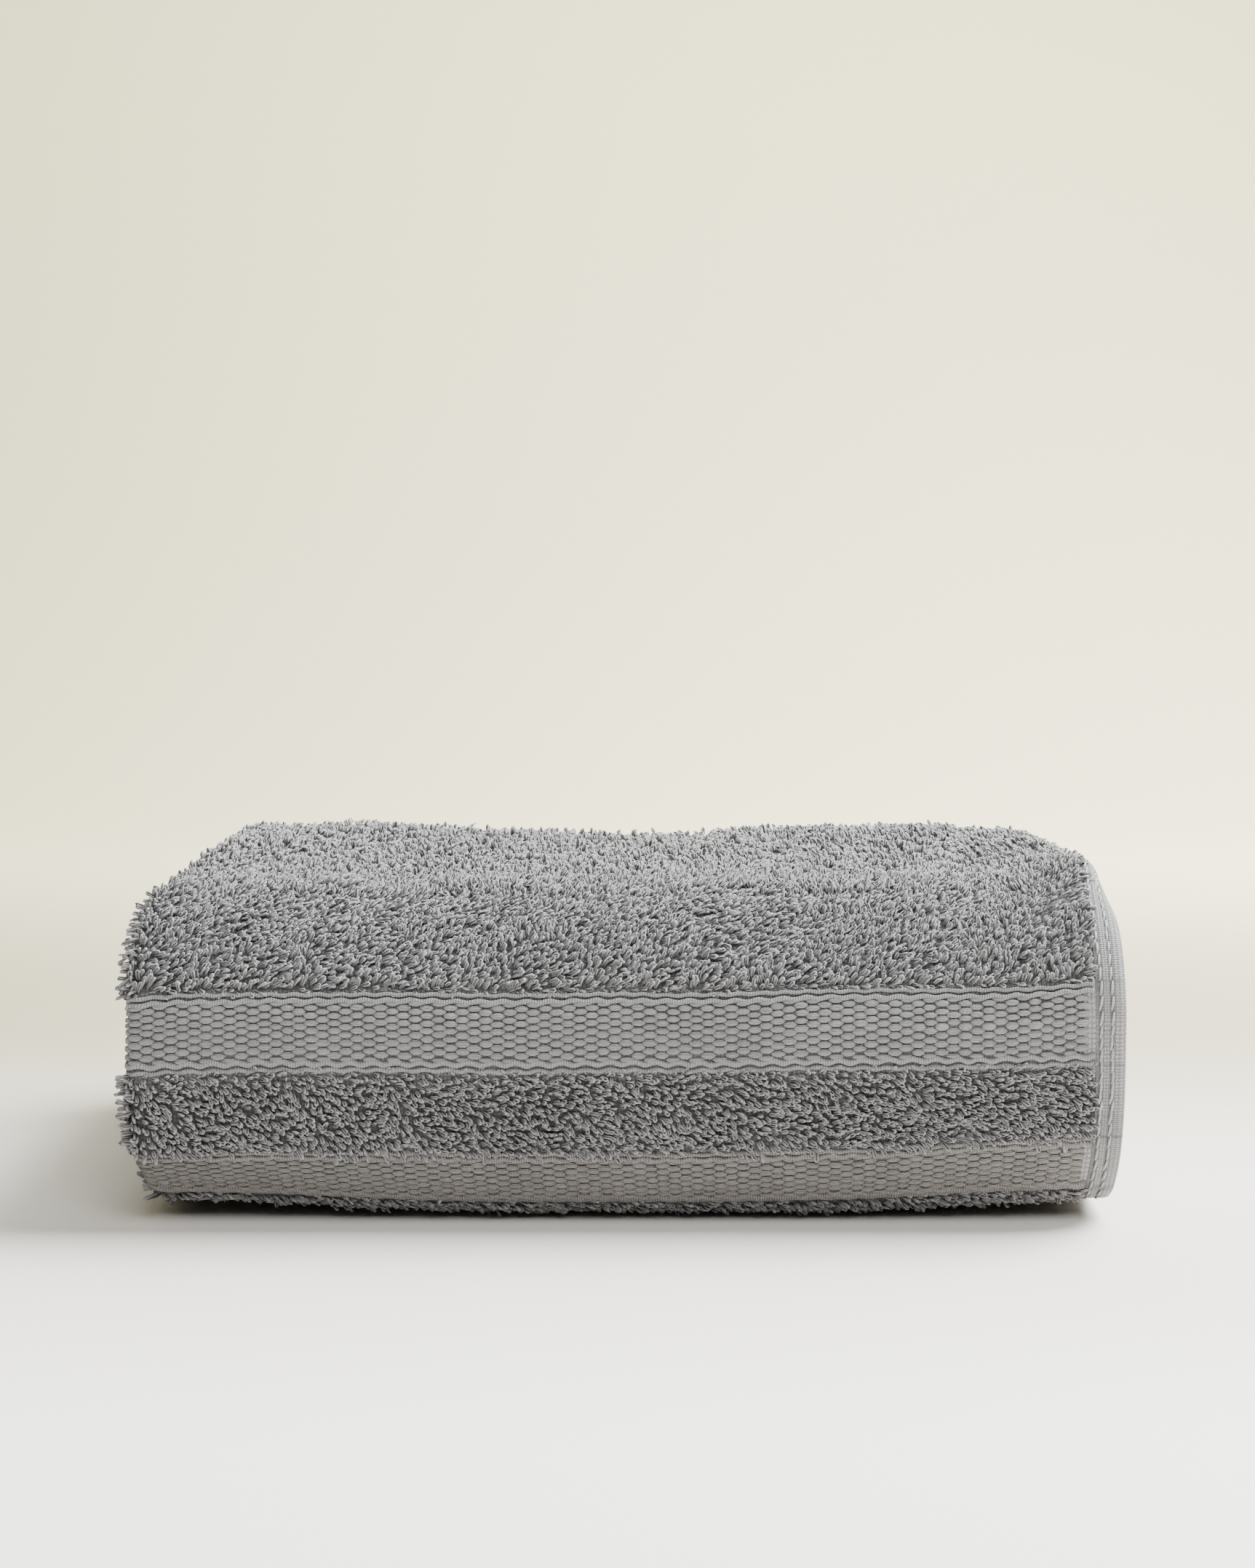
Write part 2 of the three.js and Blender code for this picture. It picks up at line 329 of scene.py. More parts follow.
def place(along, across, rise, shift=0.0):
    """Points of the cloth, in metres: the inverse of laying it flat.

    Across the pair a point lies on the outer layer, on the half circle of the folded side or on the
    inner layer. The outer layer's edge rolls down on an even curve, whose turn grows with the
    distance into the roll. That section is carried along the middle line, square to it, and then
    settled: the sides move in, the top rises and sinks, the lowest ends are lifted, and slow waves
    bend the whole stack.
    """
    along, across, rise = np.broadcast_arrays(np.asarray(along, float), across, rise)
    along = np.clip(along + drift(along, across), 0, LENGTH)
    angle = np.clip((across - LAYER_WIDTH) / LAYER_OFFSET, 0, math.pi)
    beyond = across - LAYER_WIDTH - math.pi * LAYER_OFFSET
    reach = np.where(across < LAYER_WIDTH, LAYER_WIDTH - across, np.maximum(beyond, 0))
    radius = LAYER_OFFSET + rise
    rolled = np.clip(ROLL_WIDTH - across, 0, None)
    turn = ROLL_TURN * rolled / ROLL_WIDTH * window(along, ROLL_SPAN)
    x = TURN_X + reach - radius * np.sin(angle)
    x = x - rolled * (1 - np.sinc(turn / math.pi)) + rise * np.sin(turn)
    offset = radius * np.cos(angle) - rise * (1 - np.cos(turn))
    offset = offset - rolled * np.sin(turn / 2) * np.sinc(turn / 2 / math.pi)
    depth, height = (np.interp(along, ALONG, LINE[:, k]) for k in (0, 1))
    way_y, way_z = (np.interp(along, ALONG, WAY[:, k]) for k in (0, 1))
    fold = np.interp(along, FOLDS, np.arange(len(FOLDS)) / 2)
    table = np.array(SIDES, float)
    left, outer, inner = (np.interp(fold, table[:, 0], table[:, k]) * MM for k in (1, 2, 3))
    left_share = (RIGHT - x) / FOLDED_WIDTH
    moved = x + left_share * left - (1 - left_share) * np.where(across < SIDE_FOLD, outer, inner)
    y = depth - offset * way_z - DEPTH / 2
    z = height + offset * way_y
    lift = np.zeros_like(x)
    for bump_x, back, amount, far_across, far_back in RISES:
        away = np.hypot((x / MM - bump_x) / far_across, (y / MM - back) / far_back)
        lift = lift + amount * MM * np.exp(-(away**2) / 2)
    z = z * (1 + lift / STACK_HEIGHT)
    for end in LIFTS:
        share = ramp(moved / MM, end.none, end.full) * ramp(z / MM, end.gone_height, end.full_height)
        z = z + end.amount * MM * share * ramp(y, *LIFTED_BACK)
    wave = 2 * math.pi / WANDER_LENGTH
    high = np.clip(z / STACK_HEIGHT, 0, 1)
    sway = WANDER * np.sin(wave * moved + 2.1 * wave * z + 0.7) * high
    bow = WANDER * 0.8 * np.sin(1.7 * wave * moved - wave * y + 2.0) * high
    return np.stack([moved + 0.4 * sway, y + sway, z + bow * high], -1) + shift


def settled_shift():
    """Moves the towel so that the outside of its loops meets the solid's left end, front and floor."""
    along = np.linspace(0, LENGTH, 1500)[:, None]
    across = np.linspace(0, CLOTH_WIDTH, 160)[None, :]
    box = place(along, across, PILE_LAYER / 2).reshape(-1, 3)
    return np.array(cad_box[0]) - box.min(0)


SHIFT = settled_shift()


def at(along, across, rise):
    """Points of the cloth in the towel's own frame."""
    return place(along, across, rise, SHIFT)


def axes(along, across, rise):
    """Points of the cloth with unit vectors along it, across it to the hem, and out of it."""
    point = at(along, across, rise)
    forth = at(along + TINY, across, rise) - point
    over = point - at(along, across + TINY, rise)
    out = at(along, across, rise + TINY) - point
    return (point, *(v / np.linalg.norm(v, axis=-1, keepdims=True) for v in (forth, over, out)))


def skin_length(side):
    """Distance along one surface of the pair at each point of the middle line: side is 1 or -1."""
    off = side * OUTER_RADIUS
    skin = np.stack([LINE[:, 0] - off * WAY[:, 1], LINE[:, 1] + off * WAY[:, 0]], 1)
    return np.concatenate([[0], np.cumsum(np.linalg.norm(np.diff(skin, axis=0), axis=1))])


OUTSIDE = skin_length(1)
OTHER_SIDE = skin_length(-1)


def to_skin(along):
    """Distance along the outer surface for a distance along the cloth."""
    return np.interp(along, ALONG, OUTSIDE)


def to_cloth(skin):
    """Distance along the cloth for a distance along the outer surface."""
    return np.interp(skin, OUTSIDE, ALONG)


def soft_noise(a, b, cell, seed):
    """Smooth noise between -1 and 1: random values on a lattice of cells, eased between.

    The lattice repeats after 97 by 89 cells, and starts off its corner, where both places are 0.
    """
    table = np.random.default_rng(seed).uniform(-1, 1, (97, 89))
    x, y = np.asarray(a) / cell + 31.7, np.asarray(b) / cell + 17.3
    i, j = np.floor(x).astype(int), np.floor(y).astype(int)
    fx, fy = x - i, y - j
    fx, fy = fx * fx * (3 - 2 * fx), fy * fy * (3 - 2 * fy)
    corner = [table[(i + p) % 97, (j + q) % 89] for p in (0, 1) for q in (0, 1)]
    low = corner[0] + (corner[1] - corner[0]) * fy
    high = corner[2] + (corner[3] - corner[2]) * fy
    return low + (high - low) * fx


def ground_half(along, across):
    """Half the bare cloth's thickness: thin under the loops, full at bands and hems."""
    half = np.full(np.broadcast(along, across).shape, GROUND_HALF)
    from_end = np.minimum(along, LENGTH - along)
    for band in BANDS:
        half = np.where((from_end > band.start) & (from_end < band.end), BAND_HALF, half)
    half = np.where(from_end < END_HEM, END_HEM_HALF, half)
    from_side = np.minimum(across, CLOTH_WIDTH - across)
    return np.where(from_side < SIDE_HEM, SIDE_HEM_HALF, half)


def unshaded_share(along, across):
    """How far the bare cloth has the bands' colour rather than the ground's painted shade: little among the
    ovals, where shade falls between them, full beside the hems, and none under the loops.
    """
    from_end = np.minimum(along, LENGTH - along)
    from_side = np.minimum(across, CLOTH_WIDTH - across)
    # Among the ovals only a little of the band's colour is kept: painted shade in the gaps between them.
    colour = np.where(from_side < OVALS_START + 0.6 * MM, 1.0, SHADE_AMONG_OVALS)
    share = np.zeros(np.broadcast(along, across).shape)
    for band in BANDS:
        inside = (from_end > band.start - 0.4 * MM) & (from_end < band.end + 0.4 * MM)
        share = np.where(inside, colour, share)
    return share


# Meshes

# The columns of a corner map's cells for each of its rows.
CELL_RATIO = 0.7

# How far to each side of a band's or an end hem's edge the bare cloth has its points.
EDGE_STEP = 0.3 * MM

# Half the points over which a stretch of the middle line is told to be bent, and the least bend.
BEND_POINTS = 20
LEAST_BEND = 1e-4


def grid(rows, cols, wrap=False):
    """Quads over points stored row by row, and the row and column of each of their corners."""
    i = np.arange(rows - 1)[:, None]
    j = np.arange(cols if wrap else cols - 1)[None, :]
    shape = (rows - 1, j.shape[1], 4)
    row = np.broadcast_to(np.stack([i, i, i + 1, i + 1], -1), shape).reshape(-1, 4)
    col = np.broadcast_to(np.stack([j, j + 1, j + 1, j], -1), shape).reshape(-1, 4)
    return row * cols + col % cols, row, col


def make_piece(name, points, faces, maps, material, values=None):
    """A mesh object at the origin from points, arrays of faces, corner maps and point values.

    Closed shapes are turned to face outwards: their faces' signed volume is made positive.
    """
    points = np.asarray(points, float).reshape(-1, 3)
    volume = 0.0
    for face in faces:
        a = points[face[:, 0]]
        for k in range(1, face.shape[1] - 1):
            volume += np.einsum("ij,ij->i", a, np.cross(points[face[:, k]], points[face[:, k + 1]])).sum()
    if volume < 0:
        faces = [face[:, ::-1] for face in faces]
        maps = {key: [part[:, ::-1] for part in parts] for key, parts in maps.items()}
    mesh = bpy.data.meshes.new(name)
    totals = np.concatenate([np.full(len(face), face.shape[1]) for face in faces])
    corners = np.concatenate([face.ravel() for face in faces])
    mesh.vertices.add(len(points))
    mesh.vertices.foreach_set("co", points.astype(np.float32).ravel())
    mesh.loops.add(len(corners))
    mesh.loops.foreach_set("vertex_index", corners.astype(np.int32))
    mesh.polygons.add(len(totals))
    mesh.polygons.foreach_set("loop_start", (np.cumsum(totals) - totals).astype(np.int32))
    mesh.polygons.foreach_set("loop_total", totals.astype(np.int32))
    mesh.polygons.foreach_set("use_smooth", np.ones(len(totals), bool))
    mesh.update(calc_edges=True)
    for key, parts in maps.items():
        layer = mesh.uv_layers.new(name=key)
        flat = np.concatenate([part.reshape(-1, 2) for part in parts])
        layer.data.foreach_set("uv", flat.astype(np.float32).ravel())
    for key, value in (values or {}).items():
        attribute = mesh.attributes.new(key, "FLOAT", "POINT")
        attribute.data.foreach_set("value", np.asarray(value, np.float32).ravel())
    piece = bpy.data.objects.new(name, mesh)
    bpy.context.scene.collection.objects.link(piece)
    mesh.materials.append(material)
    return piece


def tubes(rings, poles):
    """Many closed tubes from (count, rings, sides, 3) points and (count, 2, 3) poles.

    Returns points, faces, and for each face array its corners' share around and along a tube.
    """
    count, stages, sides, _ = rings.shape
    points = np.concatenate([rings.reshape(count, -1, 3), poles], 1)
    size = stages * sides + 2
    quads, row, col = grid(stages, sides, wrap=True)
    j = np.arange(sides)
    near = np.stack([(j + 1) % sides, j, np.full(sides, size - 2)], 1)
    far = np.stack([j, (j + 1) % sides, np.full(sides, size - 1)], 1)
    far[:, :2] += (stages - 1) * sides
    start = (np.arange(count) * size)[:, None, None]
    faces = [(quads[None] + start).reshape(-1, 4), (np.concatenate([near, far])[None] + start).reshape(-1, 3)]
    cap_cols = np.concatenate([np.stack([j + 1, j, j + 0.5], 1), np.stack([j, j + 1, j + 0.5], 1)])
    last = stages + 1
    cap_rows = np.repeat([[1, 1, 0], [stages, stages, last]], sides, axis=0)
    shares = (np.stack([a / sides, b / last], -1) for a, b in ((col, row + 1), (cap_cols, cap_rows)))
    return points.reshape(-1, 3), faces, [np.tile(share, (count, 1, 1)) for share in shares]


def cells(spread, count, margin=0.06):
    """A corner map that gives each of count tubes its own cell of the unit square."""
    wide = math.ceil(math.sqrt(count * CELL_RATIO))
    tall = math.ceil(count / wide)
    parts = []
    for part in spread:
        which = np.repeat(np.arange(count), len(part) // count)[:, None]
        inside = margin + (1 - 2 * margin) * part
        across, up = which % wide + inside[..., 0], which // wide + inside[..., 1]
        parts.append(np.stack([across / wide, up / tall], -1))
    return parts


def stations(corner_step, run_step):
    """Distances along the cloth at which sheets are drawn: close on the corners and wide on the runs."""
    places = [0.0]
    for start, end in zip(PIECE_ENDS[:-1], PIECE_ENDS[1:]):
        middle = np.interp((start + end) / 2, ALONG, np.arange(len(ALONG)))
        a, b = int(max(middle - BEND_POINTS, 0)), int(min(middle + BEND_POINTS, len(ALONG) - 1))
        bent = abs(float(np.cross(WAY[a], WAY[b]))) > LEAST_BEND
        steps = max(1, math.ceil((end - start) / (corner_step if bent else run_step)))
        places.extend(np.linspace(start, end, steps + 1)[1:])
    for edge in (END_HEM, *(edge for band in BANDS for edge in (band.start, band.end))):
        for side in (edge, LENGTH - edge):
            places.extend((side - EDGE_STEP, side + EDGE_STEP))
    places = np.unique(np.round(places, 6))
    return places[np.concatenate([[True], np.diff(places) > EDGE_STEP / 2])]


# Pieces

def ground_sheet(material):
    """The bare cloth: a closed sheet whose outside and inside are grids along and across the cloth.

    Its Weave map is in metres. The bake map has both grids side by side, and the closing rows of
    faces at the cloth's ends in two narrow strips.
    """
    along = np.clip(stations(2.8 * MM, 11 * MM), GROUND_INSET, LENGTH - GROUND_INSET)
    near_edge = [GROUND_INSET / MM, 3.5, 7.4, 8.2, 10.2, 11]
    flat = np.concatenate([near_edge, np.linspace(16, LAYER_WIDTH / MM, 25)]) * MM
    bend = LAYER_WIDTH + np.linspace(0, math.pi * LAYER_OFFSET, 12)[1:-1]
    across = np.concatenate([flat, bend, (CLOTH_WIDTH - flat)[::-1]])
    u, s = along[:, None], across[None, :]
    half = ground_half(u, s)
    ring = np.concatenate([at(u, s, half), at(u, s, -half)[:, ::-1]], 1)
    rows, cols = ring.shape[:2]
    quads, row, col = grid(rows, cols, wrap=True)
    j = np.arange(len(across) - 1)
    under = cols - 1 - j
    last = (rows - 1) * cols
    first_cap = np.stack([j + 1, j, under, under - 1], 1)
    last_cap = np.stack([j, j + 1, under - 1, under], 1) + last
    around = np.concatenate([across, 2 * CLOTH_WIDTH - across[::-1], [2 * CLOTH_WIDTH]])
    weave = [np.stack([around[col], along[row]], -1)]
    bake = [np.stack([0.01 + 0.98 * around[col] / (2 * CLOTH_WIDTH), 0.01 + 0.96 * along[row] / LENGTH], -1)]
    a = np.stack([across[j + 1], across[j], across[j], across[j + 1]], 1)
    b = np.broadcast_to([0.0, 0.0, 1.0, 1.0], a.shape)
    for level in (0.004, 0.985):
        weave.append(np.stack([a, b * 2 * END_HEM_HALF], -1))
        bake.append(np.stack([0.01 + 0.98 * a / CLOTH_WIDTH, level + 0.004 * b], -1))
    # The woven value is the share of the band's colour against the ground's painted shade.
    values = {"woven": unshaded_share(u, np.concatenate([across, across[::-1]])[None, :])}
    maps = {"OFBake": bake, "Weave": weave}
    return make_piece("towel_ground", ring, [quads, first_cap, last_cap], maps, material, values)


# Loops of the pile. A row says where they stand: the stretch along and across the cloth, which face,
# how far apart, how long, how they are combed at the patch's left and right ends in degrees from the
# rightward way, how much the combing strays, and how far they lean at the root and droop from there
# to the tip. Loops that a row would put on a band or an end hem are left out.
Patch = namedtuple("Patch", "piece along across face pitch length comb stray lean droop")

# Places along and across the cloth that the rows share, in millimetres.
UPPER = BANDS[1].end / MM
STRIPE = (BANDS[0].end / MM, BANDS[1].start / MM)
FOOT = BANDS[0].start / MM
CREST = 246
HEM = SIDE_HEM / MM + 1.3
FOLD = SIDE_FOLD / MM
WIDTH = CLOTH_WIDTH / MM
END = LENGTH / MM
END_EDGE = END_HEM / MM
TOP_BACK = FOLDS[4] / MM
LOWER_BACK = (FOLDS[7] / MM - 8, FOLDS[8] / MM + 8)

PATCHES = (
    Patch("pile_front_right", (UPPER, CREST), (HEM, 130), 1, 1.3, 2.9, (32, 60), 40, 28, 64),
    Patch("pile_front_left", (UPPER, CREST), (130, FOLD + 7), 1, 1.3, 2.9, (27, 42), 40, 28, 64),
    Patch("pile_front_left", (UPPER, UPPER + 1.4), (HEM, FOLD + 5), 1, 1.4, 2.5, (-50, -10), 30, 52, 45),
    Patch("pile_stripe", STRIPE, (HEM, FOLD + 6), 1, 1.3, 2.6, (-30, -8), 38, 20, 62),
    Patch("pile_stripe", (STRIPE[0], STRIPE[0] + 1.4), (HEM, FOLD + 5), 1, 1.7, 3.5, (-60, -35), 30, 46, 45),
    Patch("pile_stripe", (STRIPE[1] - 1.2, STRIPE[1]), (HEM, FOLD + 5), 1, 1.7, 2.0, (30, 60), 40, 40, 40),
    Patch("pile_foot", (153, FOOT), (HEM, FOLD + 4), 1, 1.55, 2.6, (-25, -15), 35, 42, 50),
    Patch("pile_fringe", (159, CREST + 8), (FOLD - 4, FOLD + 3), 1, 1.75, 3.9, (180, 190), 50, 12, 34),
    Patch("pile_crest", (CREST, CREST + 30), (HEM, FOLD + 7), 1, 1.58, 3.3, (58, 75), 46, 22, 62),
    Patch("pile_top", (CREST + 30, CREST + 60), (HEM, FOLD + 7), 1, 1.8, 3.4, (60, 90), 50, 23, 62),
    Patch("pile_top", (CREST + 60, TOP_BACK + 3), (HEM, FOLD + 7), 1, 2.0, 3.5, (60, 110), 56, 24, 62),
    Patch("pile_crest", (UPPER + 12, CREST + 30), (HEM - 0.6, HEM + 2.2), 1, 1.7, 3.5, (0, 20), 30, 45, 38),
    Patch("pile_top", (CREST + 30, CREST + 120), (HEM - 0.6, HEM + 2.2), 1, 1.9, 3.5, (0, 20), 30, 45, 38),
    Patch("pile_side", (TOP_BACK + 3, END), (FOLD - 7, FOLD + 7), 1, 1.9, 3.4, (180, 180), 60, 25, 64),
    Patch("pile_side", (0, 157), (FOLD - 7, FOLD + 7), 1, 1.9, 3.4, (180, 180), 60, 25, 64),
    Patch("pile_under", (0, 153), (HEM, FOLD - 8), 1, 5.0, 3.2, (0, 180), 90, 60, 40),
    Patch("pile_back", LOWER_BACK, (FOLD + 8, WIDTH - HEM), 1, 2.4, 3.7, (0, 180), 60, 25, 64),
    Patch("pile_edge", (TOP_BACK + 3, END), (HEM, HEM + 4), 1, 2.0, 3.1, (0, 0), 40, 8, 26),
    Patch("pile_edge", (0, END), (HEM, HEM + 4), -1, 2.0, 3.1, (0, 0), 40, 8, 26),
    Patch("pile_edge", (0, END), (WIDTH - HEM - 4, WIDTH - HEM), 1, 2.0, 3.1, (180, 180), 40, 8, 26),
    Patch("pile_edge", (0, END), (WIDTH - HEM - 4, WIDTH - HEM), -1, 2.0, 3.1, (180, 180), 40, 8, 26),
    Patch("pile_ends", (END_EDGE, END_EDGE + 5), (HEM, WIDTH - HEM), 1, 2.5, 3.2, (270, 270), 50, 30, 60),
    Patch("pile_ends", (END - END_EDGE - 5, END), (HEM, WIDTH - HEM), 1, 2.5, 3.2, (90, 90), 50, 30, 60),
)

# How far a loop's root strays in its cell, and how far loops stay off bands, end hems and the floor.
JITTER = 0.36
BAND_MARGIN = 0.3 * MM
HEM_MARGIN = 1 * MM
FLOOR_GAP = 0.05 * MM

# Loops that stand this far apart, in millimetres, get thicker, and have fewer stations.
FINE_PITCH = 1.6
WIDE_PITCH = 1.8

# A loop is one strand that leaves the cloth, turns at the tip and comes back beside itself. Its
# stations say how far they lie along the loop, how far to its side and how thick the yarn is there,
# each as a share.
Station = namedtuple("Station", "length side girth")
STRAND = (
    Station(0.4, -0.75, 0.8),
    Station(0.88, -1.0, 0.95),
    Station(1.0, 0.0, 0.95),
    Station(0.88, 1.0, 0.95),
    Station(0.4, 0.75, 0.8),
)
WIDE_STRAND = (
    Station(0.78, -0.9, 0.95),
    Station(1.0, 0.0, 1.1),
    Station(0.78, 0.9, 0.95),
)
STRAND_SIDES = 3

# Points of a loop's middle line, of which the stations are picked.
LINE_POINTS = 21

# How deep in the bare cloth a loop's middle line starts, and how much deeper its strand ends.
ROOT_DEPTH = 0.3 * MM
ROOT_END = 0.2 * MM

# How much loops differ by chance: angles in degrees, and lengths and girths as a share with limits.
Chance = namedtuple("Chance", "heading lean droop length girth twist twist_more")
CHANCE = Chance(20, 9, 14, 0.14, 0.1, 0.35, 0.55)
LENGTH_LIMITS = (0.65, 1.4)
GIRTH_LIMITS = (0.75, 1.3)

# How much the loops of a clump lean further and droop less together, in degrees.
CLUMP_LEAN = 16
CLUMP_DROOP = 12

# How far neighbouring loops go on having a like tone.
TONE_CELL = 9 * MM


def running_integral(values):
    """The running integral over 0 to 1 of rows of evenly spaced values, by the trapezium rule."""
    middles = (values[:, 1:] + values[:, :-1]) / 2
    return np.concatenate([np.zeros((len(values), 1)), np.cumsum(middles, 1) / middles.shape[1]], 1)


def grows(along):
    """Where the cloth has loops: off its bands and its end hems."""
    from_end = np.minimum(along, LENGTH - along)
    free = from_end > END_HEM + HEM_MARGIN
    for band in BANDS:
        free &= (from_end < band.start - BAND_MARGIN) | (from_end > band.end + BAND_MARGIN)
    return free


def scatter(patch, rng):
    """Roots of a patch's loops: staggered rows a pitch apart on its side of the pair, each jittered."""
    surface = OUTSIDE if patch.across[0] < FOLD else OTHER_SIDE
    start, end = np.interp(np.array(patch.along) * MM, ALONG, surface)
    pitch = patch.pitch * MM
    rows = max(1, round((end - start) / pitch))
    width = (patch.across[1] - patch.across[0]) * MM
    cols = max(1, round(width / pitch))
    row, col = np.meshgrid(np.arange(rows), np.arange(cols), indexing="ij")
    skin = start + (row + 0.5 + rng.uniform(-JITTER, JITTER, row.shape)) * (end - start) / rows
    over = (col + 0.5 + 0.5 * (row % 2) - 0.25 + rng.uniform(-JITTER, JITTER, row.shape)) * width / cols
    along = np.interp(skin, surface, ALONG).ravel()
    across = patch.across[0] * MM + np.clip(over, 0, width).ravel()
    keep = grows(along)
    return along[keep], across[keep]


def bent_loops(along, across, patch, pile, rng):
    """Rings and poles of a patch's loops, and how far along its loop each ring lies.

    A loop starts in the cloth, leaves it at its lean and bends over towards its heading: its angle
    from upright grows evenly along it, so its middle line is the running integral of that angle's
    cosine outwards and of its sine along the heading. The strand runs to one side of that line up
    to the tip and back on its other side, and the side way slowly twists round the line. Both ends
    of the strand close in a point in the cloth.
    """
    count = len(along)
    strand = STRAND if patch.pitch < WIDE_PITCH else WIDE_STRAND
    reach, aside, girth = np.array(strand).T
    point, forth, over, out = axes(along, across, patch.face * (ground_half(along, across) - ROOT_DEPTH))
    out = out * patch.face
    share = np.clip((across / MM - patch.across[0]) / (patch.across[1] - patch.across[0]), 0, 1)
    comb = patch.comb[1] + (patch.comb[0] - patch.comb[1]) * share
    stray = soft_noise(along, across, pile.clump, 3) + 0.6 * soft_noise(along, across, pile.clump * 0.45, 4)
    heading = np.radians(comb + patch.stray * stray + rng.normal(0, CHANCE.heading, count))[:, None]
    head = np.cos(heading) * over + np.sin(heading) * forth
    head = head - (head * out).sum(1, keepdims=True) * out
    head = (head / np.linalg.norm(head, axis=1, keepdims=True))[:, None]
    out = out[:, None]
    side = np.cross(out, head)
    rest = soft_noise(along, across, pile.clump * 0.8, 5)
    lean = np.radians(patch.lean + CLUMP_LEAN * rest + rng.normal(0, CHANCE.lean, count))
    droop = np.radians(rng.normal(patch.droop, CHANCE.droop, count) - CLUMP_DROOP * rest)
    size = patch.length * MM * (1 + CHANCE.length * rng.normal(size=count)).clip(*LENGTH_LIMITS)
    scale = max(1.0, patch.pitch / FINE_PITCH)
    scale = scale * (1 + CHANCE.girth * rng.normal(size=count)).clip(*GIRTH_LIMITS)
    fine = np.linspace(0, 1, LINE_POINTS)
    index = np.round(reach * (LINE_POINTS - 1)).astype(int)
    angle = lean[:, None] + droop[:, None] * fine
    up, on = (running_integral(part(angle))[:, index][..., None] for part in (np.cos, np.sin))
    slant = angle[:, index][..., None]
    middle = point[:, None] + size[:, None, None] * (up * out + on * head)
    thick = np.sin(slant) * out - np.cos(slant) * head
    twist = rng.normal(0, CHANCE.twist, count)[:, None]
    twist = (twist + rng.normal(0, CHANCE.twist_more, count)[:, None] * fine[index])[..., None]
    broad = np.cos(twist) * side + np.sin(twist) * thick
    thick = np.cos(twist) * thick - np.sin(twist) * side
    middle = middle + pile.loop_width / 2 * scale[:, None, None] * aside[None, :, None] * broad
    root = point - ROOT_END * out[:, 0]
    chain = np.concatenate([root[:, None], middle, root[:, None]], 1)
    way = chain[:, 2:] - chain[:, :-2]
    way = way / np.linalg.norm(way, axis=2, keepdims=True)
    flank = np.cross(thick, way)
    flank = flank / np.linalg.norm(flank, axis=2, keepdims=True)
    crown = np.cross(way, flank)
    turn = math.pi / 2 + np.arange(STRAND_SIDES) / STRAND_SIDES * 2 * math.pi
    ring = np.cos(turn)[:, None] * flank[:, :, None] + np.sin(turn)[:, None] * crown[:, :, None]
    radius = pile.strand / 2 * scale[:, None] * girth
    rings = middle[:, :, None] + radius[..., None, None] * ring
    rings[..., 2] = np.maximum(rings[..., 2], FLOOR_GAP)
    # Loops with fewer stations have less of the light tip, so their values, which set the painted root shade,
    # are raised a little.
    if strand is WIDE_STRAND:
        reach = 0.2 + 0.8 * reach
    return rings, np.stack([root, root], 1), reach


def pile_piece(name, material, pile):
    """All loops of the patches that share a piece's name, joined into one mesh.

    A point's tip value says how far along its loop it lies, which sets the painted shade at the root, and its
    tone is its loop's own.
    """
    points, tips, tones = [], [], []
    faces, spreads = ([], []), ([], [])
    used, loops = 0, 0
    for k, patch in enumerate(PATCHES):
        if patch.piece != name:
            continue
        rng = np.random.default_rng(PILE_SEED + k)
        along, across = scatter(patch, rng)
        rings, poles, reach = bent_loops(along, across, patch, pile, rng)
        made, new_faces, new_spread = tubes(rings, poles)
        points.append(made)
        for kept, part in zip(faces, new_faces):
            kept.append(part + used)
        for kept, part in zip(spreads, new_spread):
            kept.append(part)
        count, stages, sides = rings.shape[:3]
        tips.append(np.tile(np.concatenate([np.repeat(reach, sides), [0, 0]]), count))
        tone = rng.normal(0, 1, count) * 0.6 + soft_noise(along, across, TONE_CELL, 8)
        tones.append(np.repeat(tone, stages * sides + 2))
        used += len(made)
        loops += count
    spread = [np.concatenate(parts) for parts in spreads]
    faces = [np.concatenate(parts) for parts in faces]
    maps = {"OFBake": cells(spread, loops), "Yarn": spread}
    values = {"tip": np.concatenate(tips), "tone": np.concatenate(tones)}
    return make_piece(name, np.concatenate(points), faces, maps, material, values)


# Where the ovals and cords of a band end, round the folded side.
BAND_LEFT = SIDE_FOLD + 6 * MM

# An oval's rings from its rim up, by their share of its half size and of its rise.
OVAL_RINGS = ((1.0, -0.35), (0.84, 0.55), (0.5, 0.95))
OVAL_SIDES = 10

# How unevenly the ovals are woven: their place in millimetres, and the rest as a share.
Uneven = namedtuple("Uneven", "across along width height rise tilt")
OVAL_CHANCE = Uneven(0.07, 0.06, 0.035, 0.05, 0.1, 0.1)


